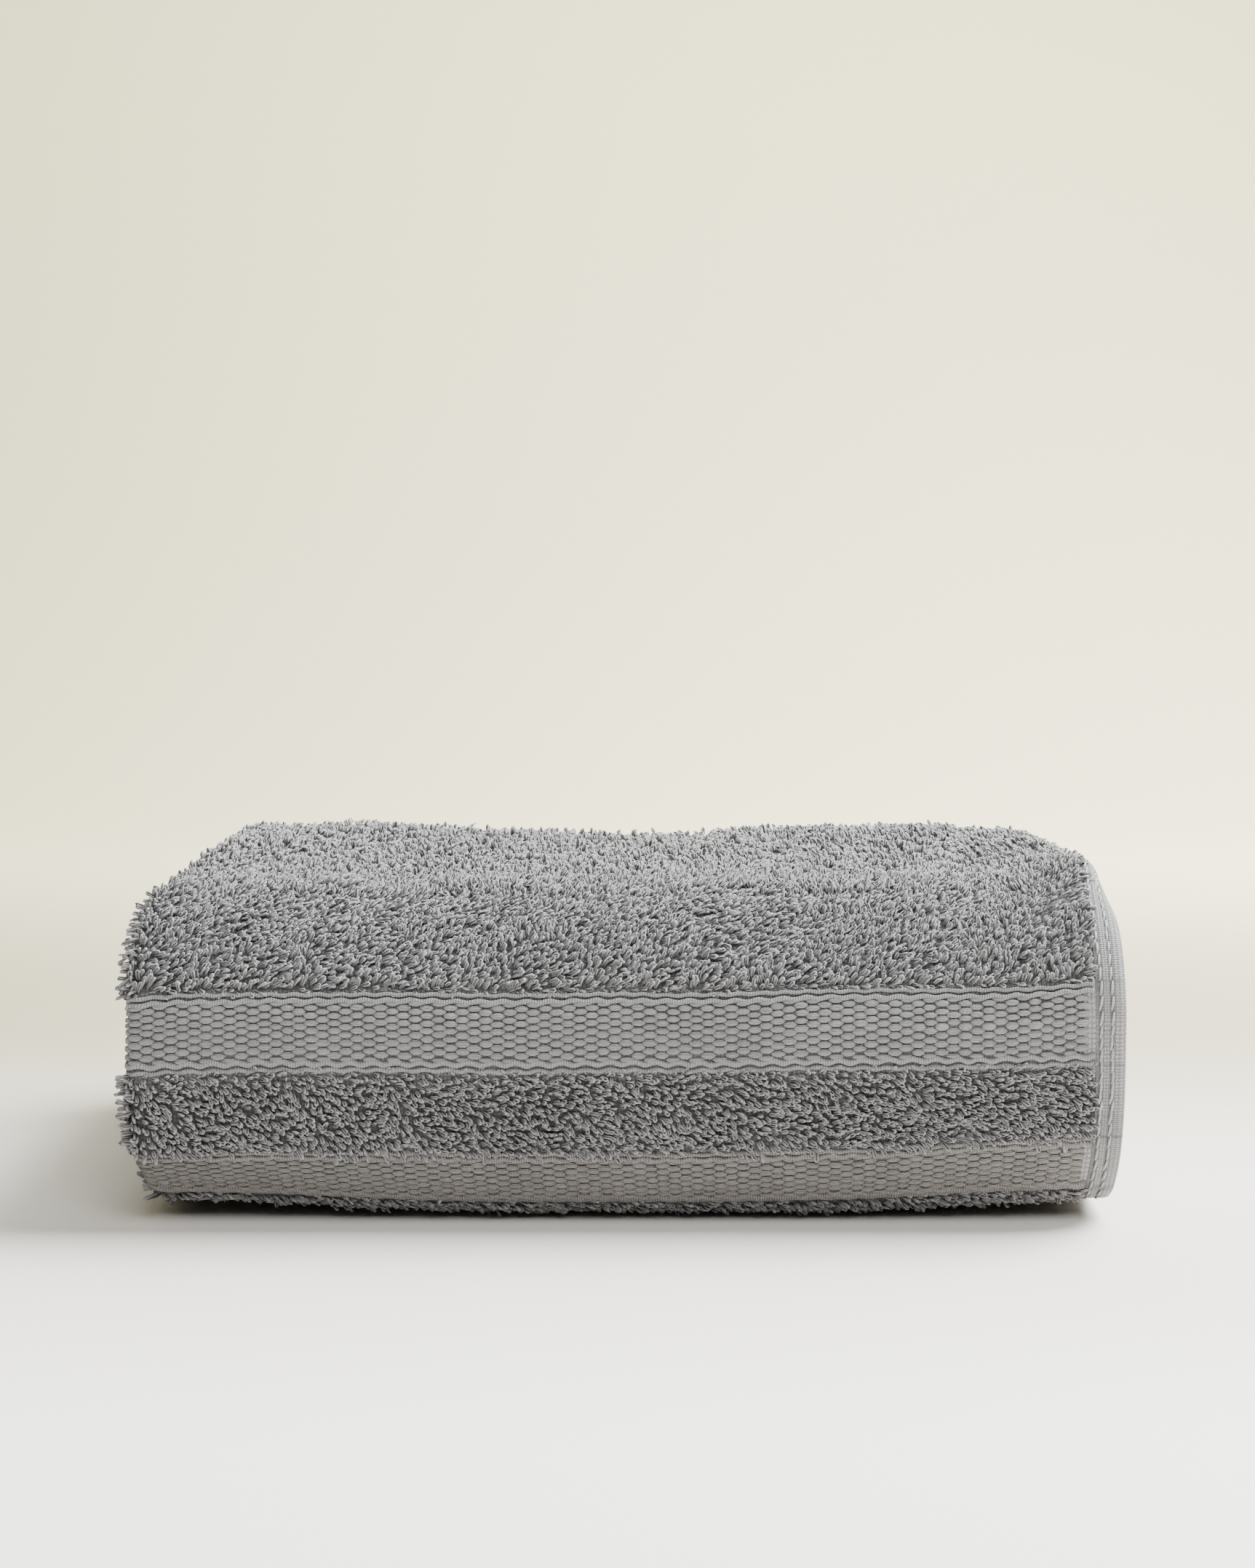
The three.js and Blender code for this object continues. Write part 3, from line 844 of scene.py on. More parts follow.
def band_ovals(name, band, material, weave):
    """The raised ovals of a band: low domes in columns, every other column half a row lower.

    A dome's outline is an oval that reaches under the neighbouring columns, and its height grows
    from ring to ring towards its middle. Its rim runs down into the cloth, so that a dark gap stays
    only above and below its middle.
    """
    rng = np.random.default_rng(BAND_SEED + int(band.start / MM))
    start, end = to_skin(band.start), to_skin(band.end)
    low = start + (end - start) * weave.field_low
    high = start + (end - start) * weave.field_high
    cols = round((BAND_LEFT - OVALS_START) / weave.column)
    rows = round((high - low) / weave.row)
    col, row = np.meshgrid(np.arange(cols), np.arange(rows + 1), indexing="ij")
    keep = (row < rows) | (col % 2 == 1)
    step = (high - low) / rows
    skin = low + (row + np.where(col % 2 == 1, 0.0, 0.5)) * step
    skin, col = skin[keep], col[keep]
    count = len(col)
    across = OVALS_START + (col + 0.5) * weave.column + rng.normal(0, OVAL_CHANCE.across, count) * MM
    skin = skin + rng.normal(0, OVAL_CHANCE.along, count) * MM
    wide = weave.oval_width / 2 * (1 + rng.normal(0, OVAL_CHANCE.width, count))
    tall = weave.oval_height / 2 * (1 + rng.normal(0, OVAL_CHANCE.height, count))
    near_edge = np.minimum(skin - low, high - skin) < 0.3 * step
    tall = np.where(near_edge, tall * 0.75, tall)
    rise = weave.oval_rise * (1 + rng.normal(0, OVAL_CHANCE.rise, count))
    tilt = rng.normal(0, OVAL_CHANCE.tilt, count)[:, None, None]
    turn = np.arange(OVAL_SIDES) / OVAL_SIDES * 2 * math.pi
    radius, height = np.array(OVAL_RINGS).T[:, :, None]
    a, b = radius * np.cos(turn), radius * np.sin(turn)
    u = to_cloth(skin[:, None, None] + tall[:, None, None] * b)
    s = across[:, None, None] - wide[:, None, None] * a
    rings = at(u, s, BAND_HALF + rise[:, None, None] * (height + tilt * a * (height > 0)))
    middle = to_cloth(skin)
    poles = np.stack([at(middle, across, BAND_HALF - 0.6 * rise), at(middle, across, BAND_HALF + rise)], 1)
    points, faces, spread = tubes(rings, poles)
    spots = np.concatenate([np.stack([a, b], -1).reshape(-1, 2), np.zeros((2, 2))])
    flat = (spots * np.stack([wide, tall], -1)[:, None]).reshape(-1, 2)
    maps = {"OFBake": cells(spread, count), "Thread": [flat[face] for face in faces]}
    tone = np.repeat(rng.normal(0, 1, count), len(points) // count)
    return make_piece(name, points, faces, maps, material, {"tone": tone})


# Cords along a band's edges: where each lies as a share of the band's height, its half width and
# rise and how far it waves in millimetres, and where its wave starts.
Cord = namedtuple("Cord", "share half rise wave phase")
CORDS = (
    Cord(0.024, 0.66, 0.7, 0.26, 0.4),
    Cord(0.112, 0.82, 0.95, 0.4, 0.0),
    Cord(0.878, 0.82, 1.0, 0.3, 3.1),
    Cord(0.967, 0.64, 0.85, 0.2, 3.5),
)
CORD_SIDES = 7
CORD_STEP = 0.9 * MM


def band_cords(name, band, material, weave):
    """The ribbed cords of a band: flat ovals carried across the cloth on waves two columns long."""
    right = SIDE_HEM + 0.4 * MM
    s = np.linspace(right, BAND_LEFT, int((BAND_LEFT - right) / CORD_STEP))
    start, end = to_skin(band.start), to_skin(band.end)
    turn = np.arange(CORD_SIDES) / CORD_SIDES * 2 * math.pi
    rings, poles = [], []
    for k, cord in enumerate(CORDS):
        uneven = soft_noise(s, s * 0 + k * 7 * MM, 11 * MM, 60 + k)
        wave = cord.wave * np.sin(s / (2 * weave.column) * 2 * math.pi + cord.phase + 0.8 * uneven)
        skin = start + (end - start) * cord.share + (wave + 0.18 * uneven) * MM
        half = cord.half * MM * (1 + 0.1 * soft_noise(s, s * 0, 6 * MM, 70 + k))
        u = to_cloth(skin[:, None] + half[:, None] * np.cos(turn))
        rings.append(at(u, s[:, None], BAND_HALF + cord.rise * MM * (0.1 + np.sin(turn))))
        poles.append(at(to_cloth(skin)[[0, -1]], s[[0, -1]], BAND_HALF))
    points, faces, spread = tubes(np.array(rings), np.array(poles))
    thread = [part * np.array([6 * MM, BAND_LEFT - right]) for part in spread]
    maps = {"OFBake": cells(spread, len(CORDS), 0.01), "Thread": thread}
    return make_piece(name, points, faces, maps, material)


# Rows of stitches, from the side hem's edge and from the end hem's edge.
STITCH_ROWS = (6.5 * MM, 3.7 * MM)
END_STITCH_ROW = 11.5 * MM

# From one stitch to the next.
STITCH_LENGTH = 2.9 * MM
END_STITCH_LENGTH = 3 * MM

# How wide the hems are pinched along a row of stitches.
SIDE_PINCH = 0.55 * MM
END_PINCH = 0.9 * MM

# The side hem's section: its points from the edge inwards on the outside, and back on the inside.
HEM_OUTSIDE = np.array([0.1, 0.6, 1.7, 2.8, 3.3, 3.7, 4.1, 4.6, 5.5, 6.1, 6.5, 6.9, 7.3, 7.6]) * MM
HEM_INSIDE = np.array([7.6, 6.8, 4.0, 0.9, 0.1]) * MM


def strip_pair(name, rings, poles, size, material, values=None):
    """Two tubes in one piece, of which the second runs round the other way, with a map in metres."""
    rings = np.array(rings)
    rings[1] = rings[1][:, ::-1]
    points, faces, spread = tubes(rings, np.array(poles))
    maps = {"OFBake": cells(spread, 2, 0.01), "Weave": [part * np.array(size) for part in spread]}
    return make_piece(name, points, faces, maps, material, values)


def side_hems(material):
    """Both side hems: a flat folded strip with rounded edges, pinched at each row of stitches."""
    s = np.concatenate([HEM_OUTSIDE, HEM_INSIDE])
    face = np.concatenate([np.ones(len(HEM_OUTSIDE)), -np.ones(len(HEM_INSIDE))])
    body = np.sqrt(1 - np.abs(2 * s / SIDE_HEM - 1) ** 6)
    near = stations(1.9 * MM, 3.8 * MM)
    seam = sum(np.exp(-(((s - row) / SIDE_PINCH) ** 2)) for row in STITCH_ROWS)
    hold = 0.8 + 0.2 * np.cos(2 * math.pi * near / STITCH_LENGTH)[:, None]
    rings, poles = [], []
    for hem in (0, 1):
        full = 1.15 + 0.1 * soft_noise(near, near * 0, 5 * MM, 80 + hem)[:, None]
        rise = face * full * MM * body * (1 - 0.45 * seam * hold)
        edge = s + 0.25 * MM * np.sin(near / (23 * MM) + hem)[:, None]
        rings.append(at(near[:, None], CLOTH_WIDTH - edge if hem else edge, rise))
        poles.append(at(near[[0, -1]], CLOTH_WIDTH - SIDE_HEM / 2 if hem else SIDE_HEM / 2, 0.0))
    # The seam value also darkens the hem's colour: painted shade in the pinched grooves.
    seams = [np.concatenate([np.tile(row, len(near)), [0, 0]]) for row in (seam, seam[::-1])]
    values = {"seam": np.concatenate(seams)}
    return strip_pair("side_hems", rings, poles, (2 * SIDE_HEM, LENGTH), material, values)


def end_hems(material):
    """Both end hems: the same kind of strip, carried across the cloth round the folded side."""
    sides = 12
    turn = np.arange(sides) / sides * 2 * math.pi
    corner = np.sign(np.cos(turn)) * np.abs(np.cos(turn)) ** 0.8
    bulge = np.sign(np.sin(turn)) * np.abs(np.sin(turn)) ** 0.5
    flat = np.arange(3, LAYER_WIDTH / MM - 1, 3.2) * MM
    bend = LAYER_WIDTH + np.linspace(0, math.pi * LAYER_OFFSET, 14)
    s = np.concatenate([flat, bend, (CLOTH_WIDTH - flat)[::-1]])
    u = END_HEM / 2 * (1 - corner)[None, :]
    pinch = 0.25 * np.exp(-(((u - END_STITCH_ROW) / END_PINCH) ** 2))
    rise = 1.5 * MM * bulge[None, :] * (1 - pinch)
    rings, poles = [], []
    for last in (0, 1):
        rings.append(at(LENGTH - u if last else u, s[:, None], rise))
        poles.append(at(LENGTH - END_HEM / 2 if last else END_HEM / 2, s[[0, -1]], 0.0))
    return strip_pair("end_hems", rings, poles, (2 * END_HEM, CLOTH_WIDTH), material)


# A stitch's rings: how far each lies along, as a share of the stitch's length, and its lift and half
# thickness in millimetres.
STITCH = ((-0.58, -0.15, 0.24), (0.02, 0.25, 0.36), (0.58, 0.0, 0.26))


def hem_stitches(material):
    """Two rows of stitches on the outer side hem, and one on each end hem: short bent tubes."""
    rng = np.random.default_rng(STITCH_SEED)
    u = np.arange(4 * MM, LENGTH - 4 * MM, STITCH_LENGTH)
    s = np.arange(10 * MM, CLOTH_WIDTH - 10 * MM, END_STITCH_LENGTH)
    along = np.concatenate([u, u, np.full(len(s), END_STITCH_ROW), np.full(len(s), LENGTH - END_STITCH_ROW)])
    across = np.concatenate([*(np.full(len(u), row) for row in STITCH_ROWS), s, s])
    on_side = np.repeat([1, 0], [2 * len(u), 2 * len(s)])[:, None]
    count = len(along)
    top = np.where(on_side[:, 0] == 1, 0.9, 1.25) * MM
    point, forth, over, out = axes(along, across + rng.normal(0, 0.1, count) * MM, top)
    way = on_side * (forth + (0.12 + 0.05 * rng.normal(size=(count, 1))) * over)
    way = way + (1 - on_side) * (over + 0.1 * rng.normal(size=(count, 1)) * forth)
    way = way / np.linalg.norm(way, axis=1, keepdims=True)
    side, out, way = (v[:, None] for v in (np.cross(out, way), out, way))
    share, lift, girth = np.array(STITCH).T[:, None, :, None]
    middle = point[:, None] + STITCH_LENGTH * share * way + lift * MM * out
    turn = (np.arange(4) / 4 * 2 * math.pi)[:, None]
    ring = np.cos(turn) * side[:, None] + np.sin(turn) * out[:, None]
    rings = middle[:, :, None] + (girth * MM)[..., None] * ring
    ends = np.concatenate([middle[:, :1] - 0.2 * MM * way, middle[:, -1:] + 0.25 * MM * way], 1)
    points, faces, spread = tubes(rings, ends)
    tone = np.repeat(rng.normal(0, 1, count), len(points) // count)
    maps = {"OFBake": cells(spread, count), "Yarn": spread}
    return make_piece("hem_stitches", points, faces, maps, material, {"tone": tone})


# Materials

# Widths of one thread of an oval and of one rib of a cord.
OVAL_THREAD = 0.36 * MM
CORD_THREAD = 0.62 * MM


def add(tree, kind, inputs=None, **settings):
    """Adds a node, sets it, and fills its inputs with values or with other nodes' outputs."""
    node = tree.nodes.new(kind)
    node.location = (180 * (len(tree.nodes) % 9), -220 * (len(tree.nodes) // 9))
    for key, value in settings.items():
        setattr(node, key, value)
    for socket, value in (inputs or {}).items():
        if isinstance(value, bpy.types.NodeSocket):
            tree.links.new(value, node.inputs[socket])
        else:
            node.inputs[socket].default_value = value
    return node


def calc(tree, operation, *values):
    """The output of a Math node."""
    return add(tree, "ShaderNodeMath", dict(enumerate(values)), operation=operation).outputs[0]


def mixed(tree, share, first, second):
    """The output of a Mix node for two colours."""
    return add(tree, "ShaderNodeMix", {0: share, 6: first, 7: second}, data_type="RGBA").outputs[2]


def between(tree, share, first, second):
    """The output of a Mix node for two values."""
    return add(tree, "ShaderNodeMix", {0: share, 2: first, 3: second}, data_type="FLOAT").outputs[0]


def scaled(tree, colour, value):
    """A colour times a value."""
    return add(tree, "ShaderNodeVectorMath", {0: colour, 1: value}, operation="MULTIPLY").outputs[0]


def own_value(tree, name):
    """A piece's own point value."""
    return add(tree, "ShaderNodeAttribute", attribute_name=name).outputs["Fac"]


def own_map(tree, name):
    """A piece's own corner map."""
    return add(tree, "ShaderNodeUVMap", uv_map=name).outputs[0]


def parts_of(tree, vector):
    """The three numbers of a vector."""
    return add(tree, "ShaderNodeSeparateXYZ", {0: vector}).outputs


def noise(tree, scale, detail):
    """Noise between 0 and 1 on the object's own coordinates."""
    coords = add(tree, "ShaderNodeTexCoord").outputs["Object"]
    inputs = {"Vector": coords, "Scale": scale, "Detail": detail}
    return add(tree, "ShaderNodeTexNoise", inputs).outputs["Fac"]


def new_group(name, inputs, output):
    """An empty node group with its inputs and one value as output, and its two end nodes."""
    tree = bpy.data.node_groups.new(name, "ShaderNodeTree")
    for label, value in inputs.items():
        kind = "NodeSocketVector" if value is None else "NodeSocketFloat"
        socket = tree.interface.new_socket(name=label, in_out="INPUT", socket_type=kind)
        if value is not None:
            socket.default_value = value
    tree.interface.new_socket(name=output, in_out="OUTPUT", socket_type="NodeSocketFloat")
    return tree, add(tree, "NodeGroupInput").outputs, add(tree, "NodeGroupOutput").inputs[output]


def twist_group(name):
    """Spun yarn: slanting grooves round a strand, with fuzz. Gives a height."""
    tree, given, height = new_group(name, {"Map": None, "Turns": 5.0, "Slant": 2.0}, "Height")
    around, forth, _ = parts_of(tree, given["Map"])
    slanted = calc(tree, "MULTIPLY", around, given["Slant"])
    turns = calc(tree, "ADD", slanted, calc(tree, "MULTIPLY", forth, given["Turns"]))
    ridge = calc(tree, "SINE", calc(tree, "MULTIPLY", turns, 2 * math.pi))
    ridge = calc(tree, "MULTIPLY_ADD", ridge, 0.5, 0.5)
    fuzz = calc(tree, "MULTIPLY", noise(tree, 5200.0, 2.0), 0.8)
    tree.links.new(calc(tree, "ADD", ridge, fuzz), height)
    return tree


def patches_group(name):
    """Slow unevenness of dyed cotton over the towel. Gives a value around one."""
    tree, given, value = new_group(name, {"Amount": 0.1}, "Value")
    centred = calc(tree, "SUBTRACT", noise(tree, 42.0, 3.0), 0.5)
    tree.links.new(calc(tree, "MULTIPLY_ADD", centred, given["Amount"], 1.0), value)
    return tree


def weave_group(name):
    """Plain weave on a map in metres: raised threads that pass over and under each other."""
    tree, given, height = new_group(name, {"Map": None, "Across": 1800.0, "Along": 1250.0}, "Height")
    across, along, _ = parts_of(tree, given["Map"])
    a = calc(tree, "MULTIPLY", calc(tree, "MULTIPLY", across, given["Across"]), math.pi)
    b = calc(tree, "MULTIPLY", calc(tree, "MULTIPLY", along, given["Along"]), math.pi)
    warp = calc(tree, "ABSOLUTE", calc(tree, "SINE", a))
    weft = calc(tree, "ABSOLUTE", calc(tree, "SINE", b))
    cross = calc(tree, "MULTIPLY", calc(tree, "COSINE", a), calc(tree, "COSINE", b))
    threads = between(tree, calc(tree, "GREATER_THAN", cross, 0.0), warp, weft)
    knots = calc(tree, "MULTIPLY", warp, weft)
    tree.links.new(between(tree, 0.6, threads, knots), height)
    return tree


GROUPS = {"Spun Yarn": twist_group, "Dye Patches": patches_group, "Plain Weave": weave_group}


def placed(tree, group, **inputs):
    """The output of a shared node group, which is built when it is first placed."""
    shared = bpy.data.node_groups.get(group) or GROUPS[group](group)
    return add(tree, "ShaderNodeGroup", inputs, node_tree=shared).outputs[0]


def new_material(name):
    """An empty material: itself, its nodes and its Principled BSDF."""
    material = bpy.data.materials.new(name)
    material.use_nodes = True
    return material, material.node_tree, material.node_tree.nodes["Principled BSDF"]


def cotton(tree, shader, colour, height, bump, sheen=0.1, roughness=0.92):
    """Makes a shader cotton: its colour, a bump of a strength and a distance, and a soft sheen."""
    strength, distance = bump
    inputs = {"Strength": strength, "Distance": distance, "Height": height}
    tree.links.new(colour, shader.inputs["Base Color"])
    tree.links.new(add(tree, "ShaderNodeBump", inputs).outputs[0], shader.inputs["Normal"])
    shader.inputs["Roughness"].default_value = roughness
    shader.inputs["Specular IOR Level"].default_value = 0.18
    shader.inputs["Sheen Weight"].default_value = sheen
    shader.inputs["Sheen Roughness"].default_value = 0.45


def terry_material(pile):
    """Looped yarn: painted shade makes it darker at the root and lighter at the tip; twisted, with a tone of
    its own.
    """
    material, tree, shader = new_material("terry_yarn")
    # Painted shade: the yarn darkens from the tip down to the root, where the pile is in shade.
    base = mixed(tree, own_value(tree, "tip"), (*pile.root_colour, 1), (*pile.tip_colour, 1))
    twist = placed(tree, "Spun Yarn", Map=own_map(tree, "Yarn"))
    own = calc(tree, "MULTIPLY_ADD", own_value(tree, "tone"), 0.07, 0.82)
    shade = calc(tree, "MULTIPLY_ADD", twist, 0.2016, own)
    level = calc(tree, "MULTIPLY", shade, placed(tree, "Dye Patches", Amount=0.22))
    cotton(tree, shader, scaled(tree, base, level), twist, (0.55, 0.12 * MM), sheen=0.3)
    return material


def oval_material(band, colour):
    """The ovals' floating threads: fine lines along the weft over a soft dome."""
    material, tree, shader = new_material(f"{band.name}_band_float")
    grain = noise(tree, 1900.0, 4.0)
    up = parts_of(tree, own_map(tree, "Thread"))[1]
    phase = calc(tree, "MULTIPLY", up, 2 * math.pi / OVAL_THREAD)
    lines = calc(tree, "SINE", calc(tree, "MULTIPLY_ADD", grain, 1.6, phase))
    height = calc(tree, "MULTIPLY_ADD", lines, 0.36, grain)
    own = calc(tree, "MULTIPLY_ADD", own_value(tree, "tone"), 0.03, 0.6)
    shade = calc(tree, "MULTIPLY_ADD", height, 0.7, own)
    level = calc(tree, "MULTIPLY", shade, placed(tree, "Dye Patches", Amount=0.2))
    cotton(tree, shader, scaled(tree, colour, level), height, (1.0, 0.24 * MM))
    return material


def cord_material(band, colour):
    """The bands' cords: threads wrapped square to the cord, as fine cross ribs."""
    material, tree, shader = new_material(f"{band.name}_band_cord")
    grain = noise(tree, 1500.0, 3.0)
    along = parts_of(tree, own_map(tree, "Thread"))[1]
    phase = calc(tree, "MULTIPLY", along, 2 * math.pi / CORD_THREAD)
    ribs = calc(tree, "SINE", calc(tree, "MULTIPLY_ADD", grain, 3.0, phase))
    height = calc(tree, "MULTIPLY_ADD", ribs, 0.5, grain)
    shade = calc(tree, "MULTIPLY_ADD", height, 0.5, 0.68)
    cotton(tree, shader, scaled(tree, colour, shade), height, (1.0, 0.2 * MM))
    return material


def thread_material(colour):
    """Sewing thread: a smooth twisted yarn, each stitch with a tone of its own."""
    material, tree, shader = new_material("sewing_thread")
    twist = placed(tree, "Spun Yarn", Map=own_map(tree, "Yarn"), Turns=4.0, Slant=2.0)
    own = calc(tree, "MULTIPLY_ADD", own_value(tree, "tone"), 0.05, 0.8)
    shade = calc(tree, "MULTIPLY_ADD", twist, 0.168, own)
    cotton(tree, shader, scaled(tree, colour, shade), twist, (0.5, 0.08 * MM), roughness=0.7)
    return material


def woven_material(name, colour, band_colour, across, along):
    """Plain woven cloth on the Weave map, as on hems and between the loops, by its threads a metre.

    Where the cloth has a woven value it takes the band's colour and elsewhere its own colour, which between
    the loops is painted shade; along a seam it is darker, painted shade in the groove that the stitches
    pinch.
    """
    material, tree, shader = new_material(name)
    cloth = placed(tree, "Plain Weave", Map=own_map(tree, "Weave"), Across=across, Along=along)
    height = calc(tree, "MULTIPLY_ADD", noise(tree, 3000.0, 2.0), 0.5, cloth)
    shade = calc(tree, "MULTIPLY_ADD", height, 0.62, 0.46)
    shade = calc(tree, "MULTIPLY", shade, placed(tree, "Dye Patches", Amount=0.25))
    # Painted shade: the colour is darker in the grooves that the rows of stitches pinch.
    level = calc(tree, "MULTIPLY", shade, calc(tree, "MULTIPLY_ADD", own_value(tree, "seam"), -0.45, 1.0))
    base = mixed(tree, own_value(tree, "woven"), (*colour, 1), (*band_colour, 1))
    cotton(tree, shader, scaled(tree, base, level), height, (1.0, 0.35 * MM))
    return material


# Settings

def length(name, description, millimetres):
    """A size that a user may change."""
    return FloatProperty(name=name, description=description, default=millimetres * MM, unit="LENGTH")


def dye(name, description, default):
    """A colour that a user may change."""
    return FloatVectorProperty(name=name, description=description, default=default, subtype="COLOR")


def portion(name, description, default):
    """A share that a user may change."""
    return FloatProperty(name=name, description=description, default=default, subtype="FACTOR")


def power(name, description, default):
    """A light's power in watts."""
    return FloatProperty(name=name, description=description, default=default, unit="POWER")


class TowelPileSettings(bpy.types.PropertyGroup):
    """The loops of the pile."""

    loop_width: length("Loop Width", "Distance between the middles of a loop's two strands", 0.62)
    strand: length("Strand", "Thickness of the yarn", 0.66)
    clump: length("Clump Size", "How far the loops go on leaning the same way", 6.5)
    # The bare cloth's colour is almost black: painted shade between the loops.
    ground_colour: dye("Ground Colour", "Colour of the bare cloth between the loops", (0.07, 0.069, 0.07))
    # The root colour is painted shade deep in the pile.
    root_colour: dye("Root Colour", "Colour of the yarn down in the pile", (0.045, 0.044, 0.045))
    tip_colour: dye("Tip Colour", "Colour of the yarn at the loops' tips", (0.319, 0.315, 0.32))


class TowelWeaveSettings(bpy.types.PropertyGroup):
    """The woven bands and hems."""

    column: length("Column Pitch", "From one column of ovals to the next", 2.9)
    row: length("Row Pitch", "From one oval of a column to the next", 2.13)
    oval_width: length("Oval Width", "Width of one raised oval", 4.1)
    oval_height: length("Oval Height", "Height of one oval, along the cloth", 1.98)
    oval_rise: length("Oval Rise", "How far an oval stands out of the band", 0.88)
    field_low: portion("Field Start", "Where the ovals start, as a share of the band", 0.155)
    field_high: portion("Field End", "Where the ovals end, as a share of the band", 0.845)
    colour: dye("Band Colour", "Colour of the woven bands", (0.29, 0.289, 0.292))
    thread_colour: dye("Thread Colour", "Colour of the stitches", (0.42, 0.42, 0.423))
    hem_colour: dye("Hem Colour", "Colour of the hems", (0.31, 0.31, 0.312))


class TowelStageSettings(bpy.types.PropertyGroup):
    """The plain stage round the towel."""

    key_power: power("Key Light", "Power of the soft light from above", 83.0)
    back_power: power("Back Light", "Power of the light from behind", 8.0)
    fill_power: power("Fill Light", "Power of the wide light from the front", 29.0)
    sky: portion("Even Light", "Strength of the even light from all round", 0.12)
    # The floor's colours are painted light and shade: brightest at the front, darker round the towel and
    # darkest behind it, a painted shadow.
    front: dye("Front Colour", "Colour of the floor at the front", (0.98, 0.98, 0.965))
    floor: dye("Floor Colour", "Colour of the floor round the towel", (0.8, 0.77, 0.72))
    behind: dye("Rear Colour", "Colour of the floor behind the towel", (0.48, 0.45, 0.32))
    wall: dye("Wall Colour", "Colour of the backdrop", (0.95, 0.91, 0.62))


# Operators

class TOWEL_OT_ground(bpy.types.Operator):
    """Lay the bare cloth in its folds"""

    bl_idname = "towel.ground"
    bl_label = "Bare Cloth"

    def execute(self, context):
        colour = tuple(context.scene.towel_pile.ground_colour)
        band_colour = tuple(context.scene.towel_weave.colour)
        # The bare cloth takes the painted shade colour, and the band's colour where its woven value says.
        piece = ground_sheet(woven_material("terry_ground", colour, band_colour, 900.0, 800.0))
        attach(piece, "root")
        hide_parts("towel")
        return {"FINISHED"}


class TOWEL_OT_hems(bpy.types.Operator):
    """Add the side hems, the end hems and their stitches"""

    bl_idname = "towel.hems"
    bl_label = "Hems"

    def execute(self, context):
        colour = tuple(context.scene.towel_weave.hem_colour)
        cloth = woven_material("hem_weave", colour, colour, 1150.0, 1250.0)
        thread = thread_material(tuple(context.scene.towel_weave.thread_colour))
        for piece in (side_hems(cloth), end_hems(cloth), hem_stitches(thread)):
            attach(piece, "root")
        return {"FINISHED"}


class TOWEL_OT_bands(bpy.types.Operator):
    """Add the ovals and cords of the woven bands"""

    bl_idname = "towel.bands"
    bl_label = "Woven Bands"

    def execute(self, context):
        weave = context.scene.towel_weave
        for band in BANDS:
            # The lower band's colour is darkened and warmed by its painted shade.
            colour = tuple(np.array(weave.colour) * band.shade)
            pieces = (
                band_ovals(f"{band.name}_band_ovals", band, oval_material(band, colour), weave),
                band_cords(f"{band.name}_band_cords", band, cord_material(band, colour), weave),
            )
            for piece in pieces:
                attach(piece, "root")
        return {"FINISHED"}


class TOWEL_OT_pile(bpy.types.Operator):
    """Grow the loops of the pile"""

    bl_idname = "towel.pile"
    bl_label = "Pile"

    def execute(self, context):
        pile = context.scene.towel_pile
        material = terry_material(pile)
        for name in dict.fromkeys(patch.piece for patch in PATCHES):
            piece = pile_piece(name, material, pile)
            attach(piece, "root")
        return {"FINISHED"}


class TOWEL_OT_stage(bpy.types.Operator):
    """Set the plain floor and backdrop, the lights and the camera"""

    bl_idname = "towel.stage"
    bl_label = "Stage"

    def execute(self, context):
        make_stage(context.scene.towel_stage)
        return {"FINISHED"}


class TOWEL_PT_panel(bpy.types.Panel):
    """Lists the towel's pieces"""

    bl_label = "Towel"
    bl_idname = "TOWEL_PT_panel"
    bl_space_type = "VIEW_3D"
    bl_region_type = "UI"
    bl_category = "Towel"

    def draw(self, context):
        for operator in OPERATORS:
            self.layout.operator(operator.bl_idname)
        for name in SETTINGS:
            settings = getattr(context.scene, name)
            for key in settings.__annotations__:
                self.layout.prop(settings, key)


# Stage and camera

# The photograph's frame in pixels, and the view in it: the camera's height over the floor, its
# distance before the towel's front, its pitch below level and its focal length in pixels.
PHOTO_HEIGHT = 2156
CAMERA_HEIGHT = 168 * MM
CAMERA_AWAY = 645 * MM
CAMERA_PITCH = 4.92
FOCAL_PIXELS = 3622
SENSOR = 36


# The floor runs level to where it sweeps up into the wall, and both are as wide to each side.
FLOOR_FRONT = -2.2
FLOOR_BACK = 0.85
SWEEP = 0.5
WALL_TOP = 2.2
HALF_WIDTH = 2.6

# Where the paper's colours change into each other, by how far back they lie from the middle: from the painted
# light of the front to the painted shade round the towel, to the painted shadow behind it, and up to the
# wall.
LIT_FRONT_FADE = (-0.26, -0.12)
REAR_SHADOW_FADE = (-0.06, 0.2)
WALL_FADE = (0.25, 0.8)

# The soft lights: where each stands, what it faces, its size and its colour.
Lamp = namedtuple("Lamp", "name spot target size colour")
LAMPS = (
    Lamp("key", (0.75, 0.25, 1.05), (0, 0, 0.04), 0.8, (1, 0.995, 0.98)),
    Lamp("back", (0.3, 0.6, 1.2), (0, 0, 0.04), 0.8, (1, 1, 1)),
    Lamp("fill", (0.2, -1.3, 1.5), (0, -0.3, 0), 1.2, (1, 1, 1)),
)
EVEN_LIGHT = (1.0, 0.985, 0.96, 1)


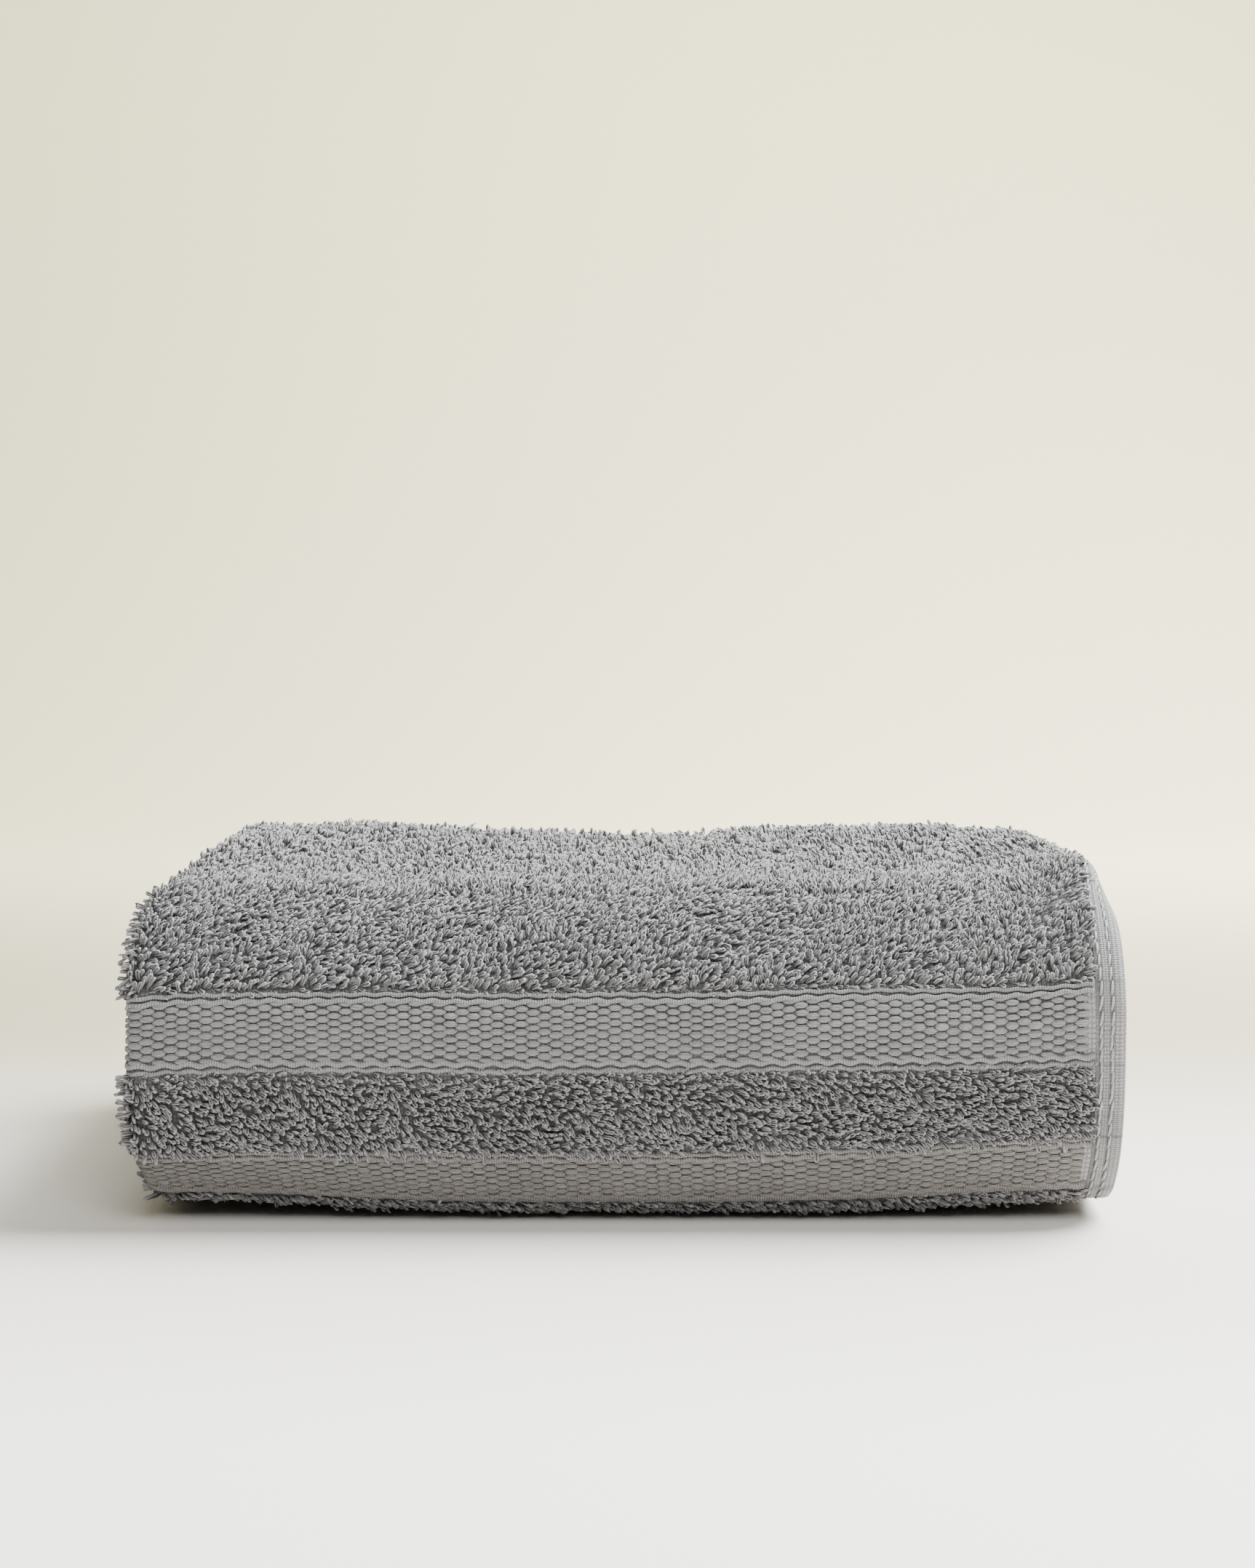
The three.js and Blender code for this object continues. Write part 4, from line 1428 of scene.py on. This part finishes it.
def backdrop(material):
    """Floor and wall in one sheet: a level line, a quarter circle and an upright line, carried across."""
    turn = np.linspace(0, math.pi / 2, 24)
    y = np.concatenate([[FLOOR_FRONT, -0.6, 0.2], FLOOR_BACK + SWEEP * np.sin(turn), [FLOOR_BACK + SWEEP]])
    z = np.concatenate([[0, 0, 0], SWEEP * (1 - np.cos(turn)), [WALL_TOP]])
    x = np.linspace(-HALF_WIDTH, HALF_WIDTH, 9)
    points = np.stack(np.broadcast_arrays(x[:, None], y[None], z[None]), -1)
    quads, row, col = grid(len(x), len(y))
    maps = {"Paper": [np.stack([row / (len(x) - 1), col / (len(y) - 1)], -1)]}
    return make_piece("backdrop", points, [quads[:, ::-1]], maps, material)


def paper_material(settings):
    """Matte paper, whose colour changes from the front over the floor to the wall: painted light on the
    bright front floor, and painted shade on the darker floor round and behind the towel.
    """
    material, tree, shader = new_material("paper")
    level = calc(tree, "MULTIPLY_ADD", noise(tree, 3.0, 2.0), 0.02, 0.99)
    back = parts_of(tree, add(tree, "ShaderNodeTexCoord").outputs["Object"])[1]
    paper = (*settings.front, 1)
    fades = ((LIT_FRONT_FADE, settings.floor), (REAR_SHADOW_FADE, settings.behind), (WALL_FADE, settings.wall))
    for (start, end), colour in fades:
        inputs = {0: back, 1: start, 2: end}
        share = add(tree, "ShaderNodeMapRange", inputs, interpolation_type="SMOOTHSTEP").outputs[0]
        paper = mixed(tree, share, paper, (*colour, 1))
    tree.links.new(scaled(tree, paper, level), shader.inputs["Base Color"])
    shader.inputs["Roughness"].default_value = 0.8
    shader.inputs["Specular IOR Level"].default_value = 0.1
    return material


def soft_light(lamp, watts):
    """A square area light that faces its target."""
    light = bpy.data.lights.new(lamp.name, "AREA")
    light.shape = "SQUARE"
    light.size = lamp.size
    light.energy = watts
    light.color = lamp.colour
    holder = bpy.data.objects.new(lamp.name, light)
    holder.location = lamp.spot
    holder.rotation_euler = (Vector(lamp.target) - Vector(lamp.spot)).to_track_quat("-Z", "Y").to_euler()
    bpy.context.scene.collection.objects.link(holder)


def make_stage(settings):
    """Backdrop, even light, the soft lights and the camera at the photograph's place."""
    backdrop(paper_material(settings))
    world = bpy.data.worlds.new("even light")
    world.use_nodes = True
    sky = world.node_tree.nodes["Background"].inputs
    sky["Color"].default_value = EVEN_LIGHT
    sky["Strength"].default_value = settings.sky
    bpy.context.scene.world = world
    for lamp in LAMPS:
        soft_light(lamp, getattr(settings, f"{lamp.name}_power"))
    camera = bpy.data.cameras.new("camera")
    camera.sensor_width = SENSOR
    camera.lens = FOCAL_PIXELS / PHOTO_HEIGHT * SENSOR
    camera.clip_start = 0.01
    holder = bpy.data.objects.new("camera", camera)
    holder.location = (0, cad_box[0][1] - CAMERA_AWAY, CAMERA_HEIGHT)
    holder.rotation_euler = (math.radians(90 - CAMERA_PITCH), 0, 0)
    bpy.context.scene.collection.objects.link(holder)
    bpy.context.scene.camera = holder


OPERATORS = (TOWEL_OT_stage, TOWEL_OT_ground, TOWEL_OT_bands, TOWEL_OT_pile, TOWEL_OT_hems)
SETTINGS = {
    "towel_pile": TowelPileSettings,
    "towel_weave": TowelWeaveSettings,
    "towel_stage": TowelStageSettings,
}
CLASSES = (*SETTINGS.values(), *OPERATORS, TOWEL_PT_panel)


def register():
    """Registers the classes and gives the scene their settings."""
    for cls in CLASSES:
        bpy.utils.register_class(cls)
    for name, settings in SETTINGS.items():
        setattr(bpy.types.Scene, name, PointerProperty(type=settings))


def unregister():
    """Takes back what register made, in the other order."""
    for name in reversed(SETTINGS):
        delattr(bpy.types.Scene, name)
    for cls in reversed(CLASSES):
        bpy.utils.unregister_class(cls)


def main():
    register()
    bpy.ops.towel.stage()
    bpy.ops.towel.ground()
    bpy.ops.towel.bands()
    bpy.ops.towel.pile()
    bpy.ops.towel.hems()


if __name__ == "__main__":
    main()
